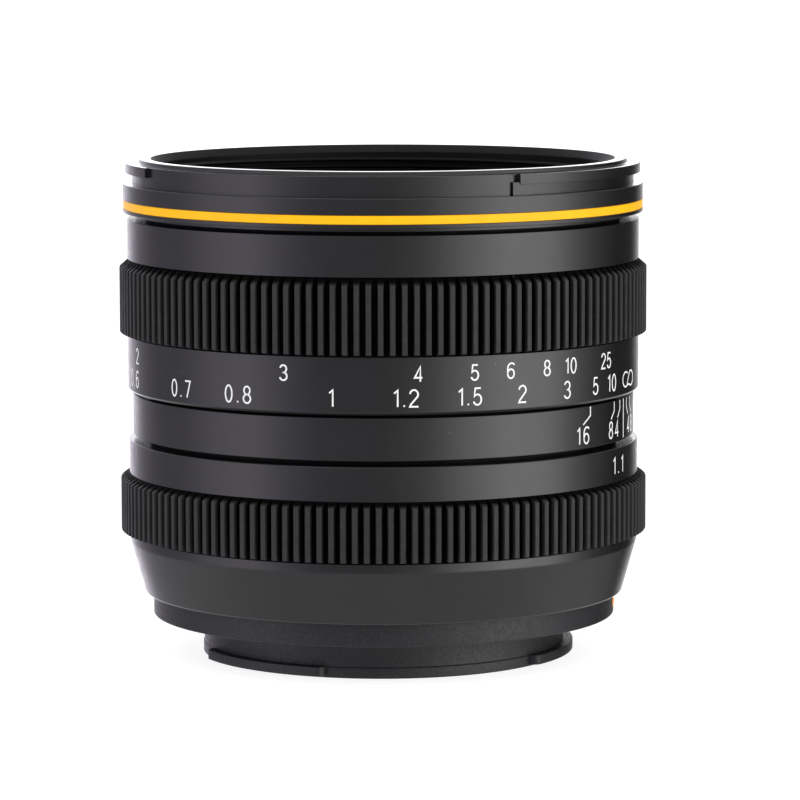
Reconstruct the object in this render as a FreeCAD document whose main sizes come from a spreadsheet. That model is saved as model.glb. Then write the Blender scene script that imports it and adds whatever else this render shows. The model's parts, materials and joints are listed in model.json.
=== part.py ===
"""A fast 50 mm manual prime lens, built as a parametric FreeCAD document of separate pieces.

Frame: +Z is the optical axis towards the subject, and the origin is on that axis in the plane of the rear
flange, which seats on a camera. Azimuths are degrees from +X towards +Y. The model stands at infinity focus
with the iris fully open. All sizes are millimetres and come from the "dims" spreadsheet.

Groups: the fixed barrel, the focus ring, the aperture ring, the lens block that travels along the axis when
the focus ring turns, and the iris, whose ring turns with the aperture ring and swings the blades.
"""

import FreeCAD, Part
import math
import os
import re

import Sketcher
from FreeCAD import Placement, Rotation, Vector

UP = Vector(0, 0, 1)
ORIGIN = Vector(0, 0, 0)

DIMENSIONS = {
    # outside of the barrel, by height above the rear flange
    "grip_radius": (30.0, "crest of the rubber ribs"),
    "rib_count": (144, "ribs round each grip"),
    "rib_height": (1.15, "crest to groove floor"),
    "grip_seat_depth": (0.65, "how deep the grips are let into their rings"),
    "rib_crest_width": (0.54, "flat on top of a rib"),
    "rib_root_width": (0.9, "rib where it meets the groove floor"),
    "grip_foot_bevel": (0.35, "height of the bevel at the foot of a grip"),
    "focus_top_bevel": (0.98, "height of the bevel at the top of the focus grip"),
    "aperture_top_bevel": (0.66, "height of the bevel at the top of the aperture grip"),
    "focus_rib_azimuth": (1.97, "a rib of the focus grip"),
    "aperture_rib_azimuth": (1.5, "a rib of the aperture grip"),
    "mount_radius": (26.37, "rim of the bayonet flange"),
    "mount_top": (2.6, "top of the flange, where the rear barrel starts"),
    "cone_foot_radius": (27.33, "rear barrel just above the flange"),
    "cone_foot_height": (2.75, "foot of the rear barrel's cone"),
    "cone_top_height": (8.5, "top of the rear barrel's cone"),
    "rear_radius": (28.95, "rear barrel above its cone"),
    "rear_top": (9.5, "top of the rear barrel"),
    "aperture_radius": (29.0, "smooth band of the aperture ring"),
    "aperture_foot": (9.6, "foot of the aperture ring"),
    "aperture_grip_top": (16.35, "top of the aperture grip"),
    "aperture_top": (20.12, "top edge of the aperture ring"),
    "scale_radius": (28.56, "fixed depth of field ring"),
    "scale_foot": (20.7, "foot of the depth of field ring"),
    "grub_height": (22.4, "grub screws of the depth of field ring"),
    "grub_radius": (0.6, "a grub screw"),
    "grub_length": (1.3, "length of a grub screw"),
    "scale_top": (25.42, "top of the depth of field ring"),
    "focus_radius": (29.1, "smooth bands of the focus ring"),
    "focus_foot": (25.77, "bottom edge of the focus ring"),
    "focus_grip_foot": (32.0, "foot of the focus grip"),
    "focus_grip_top": (40.72, "top of the focus grip"),
    "focus_top": (45.19, "top edge of the focus ring"),
    "front_foot": (45.5, "underside of the front ring's lower lip"),
    "front_lip_radius": (28.2, "front ring's lower lip"),
    "front_base_foot": (45.94, "foot of the front ring's wide base"),
    "front_base_radius": (29.55, "front ring's wide base"),
    "front_base_top": (49.2, "top of the front ring's wide base"),
    "hood_neck_radius": (28.75, "neck the hood slides over"),
    "hood_tab_radius": (29.23, "hood bayonet tabs"),
    "hood_recess_radius": (28.5, "floor of the two recesses in that neck"),
    "hood_recess_azimuth": (-61.2, "where the first recess starts"),
    "hood_recess_sweep": (82.2, "arc of a recess"),
    "hood_tab_foot": (50.4, "underside of the hood tabs"),
    "hood_tab_top": (51.5, "top of the hood tabs and neck"),
    "hood_tab_azimuth": (-59.4, "where the first of two hood tabs starts"),
    "hood_tab_sweep": (84.9, "arc of a hood tab"),
    "hood_stop_azimuth": (-61.2, "where the first of two hood stops starts"),
    "hood_stop_sweep": (5.8, "arc of a hood stop"),
    "front_top": (51.95, "rim of the filter thread"),
    "rim_radius": (27.7, "outside of the raised filter rim"),
    "filter_radius": (25.6, "minor radius of the M52 x 0.75 filter thread"),
    "filter_mouth_radius": (26.4, "chamfered mouth of the filter thread"),
    "filter_floor": (48.0, "foot of the filter thread"),
    "accent_foot": (46.37, "foot of the coloured accent ring"),
    "accent_top": (47.38, "top of the coloured accent ring"),
    "accent_depth": (0.5, "how deep the accent ring is let in"),
    # bayonet mount
    "neck_radius": (20.6, "bayonet spigot between flange and lugs"),
    "neck_foot": (-4.5, "rear end of the spigot"),
    "collar_radius": (20.9, "collar of the spigot under the flange"),
    "collar_foot": (-1.15, "foot of that collar"),
    "foot_band_radius": (20.7, "band round the rear end of the spigot"),
    "foot_band_top": (-3.2, "top of that band"),
    "mount_bore": (18.4, "bore through the mount"),
    "lug_radius": (21.7, "bayonet lugs"),
    "lug_foot": (-4.3, "rear face of the lugs"),
    "lug_top": (-3.2, "front face of the lugs"),
    "lug_sweep": (50.8, "arc of one lug"),
    "lug_count": (3, "bayonet lugs"),
    "lug_azimuth": (201.5, "where the first lug starts"),
    "mount_screw_circle": (23.6, "mount screws and lock pin hole, from the axis"),
    "mount_screw_azimuth": (20, "first mount screw"),
    "mount_screw_seat": (1.05, "depth of the mount screws' counterbores"),
    "screw_count": (4, "screws in each ring of screws"),
    "screw_shank": (0.8, "radius of a screw's shank"),
    "screw_head": (1.5, "radius of a screw's head"),
    "lock_hole_radius": (1.3, "hole for the camera's lock pin"),
    "lock_hole_depth": (1.5, "depth of that hole"),
    "lock_hole_azimuth": (245, "azimuth of that hole"),
    "index_azimuth": (-7, "mounting dot on the flange's rim"),
    "index_height": (1.35, "centre of the mounting dot"),
    "index_radius": (0.75, "mounting dot"),
    # inside of the barrel
    "fit": (0.05, "radial running clearance"),
    "overshoot": (0.1, "how far a cutting shape passes the face it cuts"),
    "tube_radius": (26.6, "outside of the main tube"),
    "tube_bore": (25.4, "inside of the main tube"),
    "tube_foot": (5.2, "main tube stands here on the rear barrel"),
    "tube_top": (31.0, "top of the main tube"),
    "tube_ledge_radius": (21.9, "inner edge of the main tube's foot"),
    "tube_ledge_top": (6.6, "top of the main tube's foot"),
    "tube_screw_circle": (23.75, "screws through the main tube's foot"),
    "tube_screw_azimuth": (65, "first of those screws"),
    "window_foot": (17.3, "window in the main tube for the fork"),
    "window_top": (19.7, "top of that window"),
    "window_azimuth": (39, "where that window starts"),
    "window_sweep": (102, "its arc"),
    "key_count": (3, "straight guide keys"),
    "key_sweep": (6.6, "arc of one key"),
    "key_azimuth": (176.7, "where the first key starts"),
    "key_depth": (24.4, "inner face of the keys, from the axis"),
    "key_foot": (27.0, "foot of the keys"),
    "key_top": (30.8, "top of the keys"),
    "shoulder_height": (30.0, "shoulder in the focus ring under its retainer"),
    "retainer_foot": (30.05, "underside of the focus ring's retainer"),
    "retainer_radius": (27.45, "rim of the retainer"),
    "retainer_track": (26.95, "floor of the stop track in the retainer's rim"),
    "stop_sweep": (184, "turn of the focus ring"),
    "stop_block_sweep": (10, "stop block inside the focus ring"),
    "stop_azimuth": (60, "where the stop block starts at infinity"),
    # helicoid
    "helicoid_lead": (12.2, "travel of the lens block in one turn"),
    "helicoid_starts": (6, "thread starts"),
    "helicoid_root": (26.9, "outside of the inner barrel"),
    "helicoid_crest": (27.5, "crest of the inner barrel's thread"),
    "helicoid_bore": (27.6, "bore of the focus ring between its threads"),
    "helicoid_ridge": (0.8, "width of a thread ridge at its foot"),
    "helicoid_ridge_crest": (0.5, "width of a thread ridge at its crest"),
    "inner_thread_foot": (33.0, "foot of the thread on the inner barrel"),
    "inner_thread_top": (38.0, "top of the thread on the inner barrel"),
    "focus_thread_foot": (32.4, "foot of the thread in the focus ring"),
    "focus_thread_top": (44.2, "top of the thread in the focus ring"),
    "focus_lip_foot": (44.45, "foot of the lip inside the focus ring's front edge"),
    "focus_lip_radius": (27.1, "bore of that lip"),
    # lens block
    "slide_radius": (25.2, "rear part of the inner barrel, inside the main tube"),
    "slide_foot": (22.9, "rear end of the inner barrel"),
    "slide_top": (32.0, "where the inner barrel widens"),
    "inner_barrel_top": (47.2, "front end of the inner barrel"),
    "cell_shoulder": (33.0, "seat of the front cell in the inner barrel"),
    "cell_radius": (24.65, "front lens cell"),
    "cell_foot_radius": (22.4, "front lens cell below its shoulder"),
    "cell_foot": (26.6, "rear end of the front cell"),
    "cell_top": (46.8, "front end of the front cell"),
    "rear_cell_radius": (19.6, "rear lens cell"),
    "snout_radius": (17.6, "narrow rear end of the rear cell"),
    "snout_foot": (1.2, "rear end of the rear cell"),
    "rear_cell_foot": (8.6, "where the rear cell widens"),
    "rear_flange_radius": (25.15, "flange of the rear cell"),
    "rear_flange_foot": (21.6, "underside of the rear cell's flange"),
    # glass: a disc from rear to front, trimmed by spheres (curve above 0 is convex, below 0 concave, 0 flat)
    "front_glass_radius": (23.3, "front element"),
    "front_glass_front": (46.2, "front end of its disc"),
    "front_glass_rear": (36.85, "rear end of its disc"),
    "front_glass_front_vertex": (45.9, "front vertex"),
    "front_glass_front_curve": (48, "front radius of curvature"),
    "front_glass_rear_vertex": (38.6, "rear vertex"),
    "front_glass_rear_curve": (-160, "rear radius of curvature"),
    "front_glass_rear_edge": (36.89, "rear rim of the front element"),
    "front_glass_edge": (39.86, "front rim of the front element"),
    "second_glass_radius": (20.3, "second element"),
    "second_glass_front": (38.6, "front end of its disc"),
    "second_glass_rear": (28.2, "rear end of its disc"),
    "second_glass_front_vertex": (38.2, "front vertex"),
    "second_glass_front_curve": (34, "front radius of curvature"),
    "second_glass_rear_vertex": (34.2, "rear vertex"),
    "second_glass_rear_curve": (-20, "rear radius of curvature"),
    "second_glass_edge": (31.47, "front rim of the second element"),
    "second_glass_seat": (28.18, "ledge behind the second element"),
    "third_glass_radius": (17.0, "third element, just behind the iris"),
    "spanner_slot_sweep": (8, "slots in the retainer of the third element"),
    "third_glass_front": (21.6, "front end of its disc"),
    "third_glass_rear": (14.6, "rear end of its disc"),
    "third_glass_front_vertex": (17.0, "front vertex"),
    "third_glass_front_curve": (-24, "front radius of curvature"),
    "third_glass_rear_vertex": (14.6, "rear vertex"),
    "third_glass_rear_curve": (0, "flat"),
    "fourth_glass_radius": (17.0, "fourth element"),
    "fourth_glass_front": (14.56, "front end of its disc"),
    "fourth_glass_rear": (9.2, "rear end of its disc"),
    "fourth_glass_front_vertex": (14.56, "front vertex"),
    "fourth_glass_front_curve": (0, "flat"),
    "fourth_glass_rear_vertex": (9.4, "rear vertex"),
    "fourth_glass_rear_curve": (40, "rear radius of curvature"),
    "fourth_glass_seat": (12.2, "ledge behind the fourth element"),
    "rear_glass_radius": (15.8, "rear element"),
    "rear_glass_front": (8.6, "front end of its disc"),
    "rear_glass_rear": (2.0, "rear end of its disc"),
    "rear_glass_front_vertex": (8.4, "front vertex"),
    "rear_glass_front_curve": (45, "front radius of curvature"),
    "rear_glass_rear_vertex": (2.2, "rear vertex"),
    "rear_glass_rear_curve": (60, "rear radius of curvature"),
    "rear_glass_edge": (4.32, "rear rim of the rear element"),
    "rear_glass_seat": (5.95, "ledge in front of the rear element"),
    # iris
    "iris_radius": (13.9, "fully open"),
    "iris_bore": (23.75, "housing for the iris in the inner barrel"),
    "blade_count": (11, "iris blades"),
    "blade_inner": (14.0, "inner edge of an open blade"),
    "blade_outer": (19.35, "outer edge of an open blade"),
    "blade_thickness": (0.08, "sheet the blades are cut from"),
    "blade_pitch": (0.14, "height from one blade to the next"),
    "blade_foot": (23.85, "lowest blade"),
    "blade_sweep": (103, "arc of a blade between its end caps"),
    "pivot_circle": (20.8, "blade pivots, from the axis"),
    "pivot_radius": (0.25, "blade pins"),
    "blade_start": (2.0, "front end cap of a blade, from its pivot's azimuth"),
    "ear_outer": (21.4, "pivot ear of a blade"),
    "drive_ear_outer": (20.4, "drive pin ear of a blade"),
    "ear_inner": (18.0, "where the ears leave the blade"),
    "ear_sweep": (3.4, "arc of a blade's ear"),
    "drive_arm": (5.0, "pivot pin to drive pin"),
    "drive_azimuth": (-108.3, "drive pin as seen from the pivot, open"),
    "blade_swing": (36.6, "turn of a blade from open to closed"),
    "iris_turn": (84, "turn of the iris ring from open to closed"),
    "iris_ring_foot": (22.95, "underside of the iris ring"),
    "iris_ring_top": (23.75, "top of the iris ring"),
    "iris_plate_foot": (25.45, "underside of the iris plate"),
    "iris_plate_top": (26.45, "top of the iris plate"),
    "arm_azimuth": (132, "drive arm with the iris open"),
    "arm_inner": (21.7, "inner face of the drive arm"),
    "arm_outer": (22.9, "outer face of the drive arm"),
    "arm_sweep": (5.1, "drive arm"),
    "arm_foot": (10.5, "rear end of the drive arm"),
    "fork_foot": (17.5, "foot of the fork on the aperture ring"),
    "fork_top": (19.5, "top of that fork"),
    "fork_finger_sweep": (3.2, "arc of a fork finger"),
    "fork_play": (0.15, "gap between finger and arm, in degrees of arc"),
    "fork_plate_radius": (27.8, "outer edge of the fork's plate"),
    "fork_plate_inner": (24.6, "inner edge of the fork's plate"),
    "fork_plate_sweep": (16, "arc of the fork's plate"),
    "fork_screw_circle": (27.2, "screws of the fork"),
    "fork_screw_offset": (5, "degrees from the arm to a screw of the fork"),
    "fork_screw_depth": (1.5, "depth of their holes"),
    "rear_screw_circle": (24.47, "screws of the rear cell"),
    "fine_screw_shank": (0.4, "radius of a fine screw's shank"),
    "fine_screw_head": (0.55, "radius of a fine screw's head"),
}

doc = FreeCAD.newDocument("prime_lens")
sheet = doc.addObject("Spreadsheet::Sheet", "dims")
pieces = {}


def fill_sheet():
    """Writes every driving dimension to the spreadsheet: name, value under that alias, and what it is."""
    for row, (alias, (number, note)) in enumerate(DIMENSIONS.items(), start=1):
        sheet.set(f"A{row}", alias)
        sheet.set(f"B{row}", str(number))
        sheet.setAlias(f"B{row}", alias)
        sheet.set(f"C{row}", note)
    doc.recompute()


def bound(text):
    """An expression on the spreadsheet's cells, from one written with their bare names."""
    return re.sub(r"\b(?!cos\b|sin\b|abs\b)([a-z][a-z_]+)", r"dims.\1", text)


def size(text):
    """The number that an expression on the sheet's names comes to."""
    return float(sheet.evalExpression(bound(text)))


def polar(radius, azimuth, height=0.0):
    """A point from its distance to the axis, its azimuth in degrees and its height."""
    angle = math.radians(azimuth)
    return Vector(radius * math.cos(angle), radius * math.sin(angle), height)


# ---- sketches and features -------------------------------------------------------------------------------


def new_body(label):
    body = doc.addObject("PartDesign::Body", label)
    body.Label = label
    pieces[label] = body
    return body


def new_sketch(body, name, plane, height=None):
    """A sketch on one of the body's own origin planes, lifted to an expression's height."""
    sketch = body.newObject("Sketcher::SketchObject", name)
    origin_plane = next(item for item in body.Origin.OriginFeatures if item.Role == plane)
    sketch.AttachmentSupport = [(origin_plane, "")]
    sketch.MapMode = "FlatFace"
    if height is not None:
        sketch.setExpression("AttachmentOffset.Base.z", bound(height))
    return sketch


def drive(sketch, kind, *where, expression):
    """Adds a dimension to a sketch and binds it to the sheet."""
    index = sketch.addConstraint(Sketcher.Constraint(kind, *where, size(expression)))
    sketch.setExpression(f"Constraints[{index}]", bound(expression))


def outline_sketch(sketch, corners):
    """A closed outline of straight lines through (radius, height) corners, each bound to the sheet."""
    points = [Vector(size(radius), size(height), 0) for radius, height in corners]
    count = len(points)
    for index in range(count):
        sketch.addGeometry(Part.LineSegment(points[index], points[(index + 1) % count]), False)
    for index in range(count):
        sketch.addConstraint(Sketcher.Constraint("Coincident", index, 2, (index + 1) % count, 1))
    for index, (radius, height) in enumerate(corners):
        drive(sketch, "DistanceX", -1, 1, index, 1, expression=radius)
        drive(sketch, "DistanceY", -1, 1, index, 1, expression=height)


def revolve(body, sketch):
    """Turns a profile sketch once round the optical axis."""
    turned_feature = body.newObject("PartDesign::Revolution", "turned")
    turned_feature.Profile = sketch
    turned_feature.ReferenceAxis = (sketch, ["V_Axis"])
    turned_feature.Angle = 360
    return turned_feature


def turned(label, corners):
    """A piece turned round the axis from a profile of (radius, height) corners."""
    body = new_body(label)
    sketch = new_sketch(body, label + "_profile", "XZ_Plane")
    outline_sketch(sketch, corners)
    revolve(body, sketch)
    doc.recompute()
    return body


def sector_sketch(body, name, inner, outer, start, sweep, height):
    """A ring sector about the axis: two arcs joined by two radial lines."""
    sketch = new_sketch(body, name, "XY_Plane", height)
    near, far, first = size(inner), size(outer), size(start)
    last = first + size(sweep)
    ends = [polar(far, first), polar(far, last), polar(near, last), polar(near, first)]
    first_angle, last_angle = math.radians(first), math.radians(last)
    outer_circle = Part.Circle(ORIGIN, UP, far)
    inner_circle = Part.Circle(ORIGIN, UP, near)
    sketch.addGeometry(Part.ArcOfCircle(outer_circle, first_angle, last_angle), False)
    sketch.addGeometry(Part.LineSegment(ends[1], ends[2]), False)
    sketch.addGeometry(Part.ArcOfCircle(inner_circle, first_angle, last_angle), False)
    sketch.addGeometry(Part.LineSegment(ends[3], ends[0]), False)
    for one, one_end, other, other_end in ((0, 2, 1, 1), (1, 2, 2, 2), (2, 1, 3, 1), (3, 2, 0, 1)):
        sketch.addConstraint(Sketcher.Constraint("Coincident", one, one_end, other, other_end))
    for arc in (0, 2):
        sketch.addConstraint(Sketcher.Constraint("Coincident", arc, 3, -1, 1))
    drive(sketch, "Radius", 0, expression=outer)
    drive(sketch, "Radius", 2, expression=inner)
    return sketch


def pad(body, sketch, length):
    """Adds material above a sketch."""
    feature = body.newObject("PartDesign::Pad", sketch.Name + "_pad")
    feature.Profile = sketch
    feature.setExpression("Length", bound(length))
    body.Tip = feature
    doc.recompute()
    return feature


def pocket(body, sketch, depth):
    """Removes material above a sketch, and checks that some went."""
    before = body.Shape.Volume
    feature = body.newObject("PartDesign::Pocket", sketch.Name + "_pocket")
    feature.Profile = sketch
    feature.Reversed = True
    feature.setExpression("Length", bound(depth))
    body.Tip = feature
    doc.recompute()
    if body.Shape.Volume >= before:
        raise RuntimeError(f"{feature.Name} removed nothing")
    return feature


def pattern(body, feature, count):
    """Repeats a feature evenly round the axis."""
    repeated = body.newObject("PartDesign::PolarPattern", feature.Name + "_ring")
    repeated.Originals = [feature]
    z_axis = next(item for item in body.Origin.OriginFeatures if item.Role == "Z_Axis")
    repeated.Axis = (z_axis, [""])
    repeated.Angle = 360
    repeated.setExpression("Occurrences", bound(count))
    body.Tip = repeated
    doc.recompute()
    return repeated


def ring_of_sectors(body, name, inner, outer, start, sweep, foot, top, count, cut=False):
    """Ring sectors between two heights, added to a body or cut from it."""
    sketch = sector_sketch(body, name, inner, outer, start, sweep, foot)
    feature = (pocket if cut else pad)(body, sketch, f"({top}) - ({foot})")
    if count != "1":
        pattern(body, feature, count)


def ring_of_holes(body, name, circle, azimuth, radius, foot, top, count):
    """Round holes parallel to the axis, on a circle."""
    sketch = new_sketch(body, name, "XY_Plane", foot)
    centre = polar(size(circle), size(azimuth))
    sketch.addGeometry(Part.Circle(centre, UP, size(radius)), False)
    drive(sketch, "Radius", 0, expression=radius)
    drive(sketch, "DistanceX", -1, 1, 0, 3, expression=f"({circle}) * cos({azimuth})")
    drive(sketch, "DistanceY", -1, 1, 0, 3, expression=f"({circle}) * sin({azimuth})")
    feature = pocket(body, sketch, f"({top}) - ({foot})")
    if count != "1":
        pattern(body, feature, count)


def solid_piece(label, shape):
    """A piece whose shape is made with Part's own functions."""
    feature = doc.addObject("Part::Feature", label)
    feature.Label = label
    feature.Shape = shape
    pieces[label] = feature
    return feature


def combined(kind, label, base, tool):
    """A Part::Cut or Part::Fuse of two objects, which takes over the base's label."""
    base.Label = label + "_blank"
    tool.Label = label + "_tool"
    result = doc.addObject(kind, label + "_made")
    result.Base = base
    result.Tool = tool
    pieces.pop(tool.Name, None)
    result.Label = label
    pieces[label] = result
    doc.recompute()
    return result


def hidden(name, shape):
    """A tool for a boolean: a feature that isn't a piece."""
    feature = doc.addObject("Part::Feature", name)
    feature.Shape = shape
    return feature


def round_the_axis(shape, count, start=0.0):
    """Copies of a shape, evenly spaced round the axis, as one compound."""
    copies = []
    for index in range(count):
        copy = shape.copy()
        copy.rotate(ORIGIN, UP, start + 360.0 * index / count)
        copies.append(copy)
    return Part.makeCompound(copies)


# ---- the fixed barrel ------------------------------------------------------------------------------------


def mount_ring():
    """The bayonet flange with its lugs, counterbored screw holes, lock pin hole and mounting dot's seat."""
    body = turned("mount_ring", [
        ("mount_bore", "neck_foot"), ("foot_band_radius", "neck_foot"),
        ("foot_band_radius", "foot_band_top - 0.15"), ("neck_radius", "foot_band_top"),
        ("neck_radius", "collar_foot"),
        ("collar_radius", "collar_foot"), ("collar_radius", "0"), ("mount_radius - 0.2", "0"),
        ("mount_radius", "0.2"), ("mount_radius", "mount_top"), ("mount_bore", "mount_top"),
    ])
    ring_of_sectors(body, "lug", "neck_radius - 0.5", "lug_radius", "lug_azimuth", "lug_sweep",
                    "lug_foot", "lug_top", "lug_count")
    ring_of_holes(body, "screw_hole", "mount_screw_circle", "mount_screw_azimuth", "screw_shank + fit",
                  "-overshoot", "mount_top + overshoot", "screw_count")
    ring_of_holes(body, "counterbore", "mount_screw_circle", "mount_screw_azimuth", "screw_head + fit",
                  "-overshoot", "mount_screw_seat", "screw_count")
    ring_of_holes(body, "lock_hole", "mount_screw_circle", "lock_hole_azimuth", "lock_hole_radius",
                  "-overshoot", "lock_hole_depth", "1")
    seat = radial_cylinder("dot_seat", "index_radius + fit", "mount_radius - 0.6", "1", "index_azimuth",
                           "index_height")
    combined("Part::Cut", "mount_ring", body, seat)


def radial_cylinder(name, radius, start, length, azimuth, height):
    """A cylinder pointing away from the axis, bound to the sheet."""
    cylinder = doc.addObject("Part::Cylinder", name)
    cylinder.setExpression("Radius", bound(radius))
    cylinder.setExpression("Height", bound(length))
    cylinder.Placement = Placement(ORIGIN, Rotation(UP, polar(1, size(azimuth))))
    cylinder.setExpression("Placement.Base.x", bound(f"({start}) * cos({azimuth})"))
    cylinder.setExpression("Placement.Base.y", bound(f"({start}) * sin({azimuth})"))
    cylinder.setExpression("Placement.Base.z", bound(height))
    doc.recompute()
    return cylinder


def mount_index_dot():
    dot = radial_cylinder("mount_index_dot", "index_radius", "mount_radius - 0.55", "0.6", "index_azimuth",
                          "index_height")
    pieces["mount_index_dot"] = dot


def mount_lining():
    """The blackened sleeve inside the bayonet."""
    turned("mount_lining", [
        ("mount_bore - 0.6", "neck_foot + 0.25"), ("mount_bore - 0.05", "neck_foot + 0.25"),
        ("mount_bore - 0.05", "mount_top"), ("mount_bore - 0.35", "mount_top"),
    ])


def rear_barrel():
    """The cone behind the aperture ring. Its floor takes the flange's screws and carries the main tube."""
    body = turned("rear_barrel", [
        ("neck_radius", "mount_top"), ("cone_foot_radius - 0.15", "mount_top"),
        ("cone_foot_radius", "cone_foot_height"), ("rear_radius", "cone_top_height"),
        ("rear_radius", "rear_top"), ("tube_radius + fit", "rear_top"),
        ("tube_radius + fit", "tube_foot"), ("neck_radius", "tube_foot"),
    ])
    ring_of_holes(body, "flange_screw", "mount_screw_circle", "mount_screw_azimuth", "screw_shank + fit",
                  "mount_top - overshoot", "tube_foot - 0.3", "screw_count")
    ring_of_holes(body, "tube_screw", "tube_screw_circle", "tube_screw_azimuth", "screw_shank + fit",
                  "mount_top + 0.4", "tube_foot + overshoot", "screw_count")


def main_tube():
    """The tube the focus and aperture rings turn on, windowed for the keys and for the aperture fork."""
    body = turned("main_tube", [
        ("tube_ledge_radius", "tube_foot"), ("tube_radius", "tube_foot"), ("tube_radius", "tube_top"),
        ("tube_bore", "tube_top"), ("tube_bore", "tube_ledge_top"), ("tube_ledge_radius", "tube_ledge_top"),
    ])
    ring_of_holes(body, "foot_screw", "tube_screw_circle", "tube_screw_azimuth", "screw_shank + fit",
                  "tube_foot - overshoot", "tube_ledge_top + overshoot", "screw_count")
    ring_of_sectors(body, "key_seat", "tube_bore - 0.5", "tube_radius + 0.5", "key_azimuth - 0.1",
                    "key_sweep + 0.2", "key_foot - 0.05", "key_top + 0.05", "key_count", cut=True)
    ring_of_sectors(body, "fork_window", "tube_bore - 0.5", "tube_radius + 0.5", "window_azimuth",
                    "window_sweep", "window_foot", "window_top", "1", cut=True)


def guide_keys():
    """Keys let into the main tube, which stop the lens block from turning with the focus ring."""
    key = sector_solid("key_depth", "tube_radius - 0.05", "key_azimuth", "key_sweep", "key_foot", "key_top")
    solid_piece("guide_keys", round_the_axis(key, int(size("key_count"))))


def sector_solid(inner, outer, start, sweep, foot, top):
    """A ring sector as a plain solid."""
    height = size(top) - size(foot)
    shell = Part.makeCylinder(size(outer), height, Vector(0, 0, size(foot)), UP, size(sweep))
    core = Part.makeCylinder(size(inner), height, Vector(0, 0, size(foot)), UP, size(sweep))
    sector = shell.cut(core)
    sector.rotate(ORIGIN, UP, size(start))
    return sector


def screw_solid(circle, azimuth, shank, head, point, seat, crown):
    """A cheese head screw parallel to the axis: point and crown are its two ends, seat is under its head."""
    low, middle, high = size(point), size(seat), size(crown)
    centre = polar(size(circle), size(azimuth))
    up = Vector(0, 0, math.copysign(1, high - middle))
    stem = Part.makeCylinder(size(shank), abs(middle - low), centre + Vector(0, 0, low), up)
    top = Part.makeCylinder(size(head), abs(high - middle), centre + Vector(0, 0, middle), up)
    slot = Part.makeBox(2 * size(head), size(head) / 3, abs(high - middle) / 2)
    slot.translate(centre + Vector(-size(head), -size(head) / 6, 0))
    slot.translate(Vector(0, 0, high - up.z * abs(high - middle) / 2 if up.z > 0 else high))
    return stem.fuse(top).cut(slot)


def barrel_screws():
    """The screws of the mount flange and of the main tube's foot."""
    count = int(size("screw_count"))
    flange_screw = screw_solid("mount_screw_circle", "mount_screw_azimuth", "screw_shank", "screw_head",
                               "tube_foot - 0.5", "mount_screw_seat", "0.1")
    solid_piece("mount_screws", round_the_axis(flange_screw, count))
    tube_screw = screw_solid("tube_screw_circle", "tube_screw_azimuth", "screw_shank", "screw_head",
                             "mount_top + 0.5", "tube_ledge_top", "tube_ledge_top + 1")
    solid_piece("tube_screws", round_the_axis(tube_screw, count))


def index_ring():
    """The fixed ring that carries the depth of field scale, with its three grub screws round the back."""
    body = turned("index_ring", [
        ("tube_radius + fit", "scale_foot"), ("scale_radius - 0.1", "scale_foot"),
        ("scale_radius", "scale_foot + 0.1"), ("scale_radius", "scale_top - 0.1"),
        ("scale_radius - 0.1", "scale_top"), ("tube_radius + fit", "scale_top"),
    ])
    radius, length, reach = size("grub_radius"), size("grub_length"), size("scale_radius - tube_radius")
    sockets = []
    grubs = []
    for azimuth in (60, 90, 120):
        direction = polar(1, azimuth)
        base = polar(size("tube_radius + fit"), azimuth, size("grub_height"))
        sockets.append(Part.makeCylinder(radius + size("fit"), reach + 1, base - direction * 0.2, direction))
        grub = Part.makeCylinder(radius, length, base, direction)
        key_hole = Part.makeCylinder(radius / 2, length / 2, base + direction * length / 2, direction)
        grubs.append(grub.cut(key_hole))
    combined("Part::Cut", "index_ring", body, hidden("grub_seats", Part.makeCompound(sockets)))
    solid_piece("index_grub_screws", Part.makeCompound(grubs))


def focus_retainer():
    """The ring on the main tube's front end that keeps the focus ring on, with the track for its stop."""
    body = turned("focus_retainer", [
        ("tube_radius + fit", "retainer_foot"), ("retainer_track", "retainer_foot"),
        ("retainer_track", "tube_top"), ("tube_radius + fit", "tube_top"),
    ])
    free_arc = "stop_sweep + stop_block_sweep + 0.4"
    ring_of_sectors(body, "rim", "retainer_track - 0.1", "retainer_radius",
                    f"stop_azimuth - 0.2 + {free_arc}", f"360 - ({free_arc})", "retainer_foot",
                    "tube_top", "1")


# ---- the focus ring --------------------------------------------------------------------------------------


def ridges(inner, outer, foot, top, first_azimuth):
    """The left-handed multi-start ridges of one half of the helicoid."""
    embedded, crest = size(inner), size(outer)
    wide, narrow = size("helicoid_ridge") / 2, size("helicoid_ridge_crest") / 2
    height = size(top) - size(foot) - 2 * wide
    spine = Part.makeHelix(size("helicoid_lead"), height, embedded)
    corners = [(embedded, -wide), (embedded, wide), (crest, narrow), (crest, -narrow), (embedded, -wide)]
    profile = Part.makePolygon([Vector(radius, 0, up) for radius, up in corners])
    ridge = Part.Wire(spine).makePipeShell([profile], True, True)
    ridge.translate(Vector(0, 0, size(foot) + wide))
    ridge = ridge.mirror(ORIGIN, Vector(0, 1, 0))
    return round_the_axis(ridge, int(size("helicoid_starts")), first_azimuth)


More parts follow.
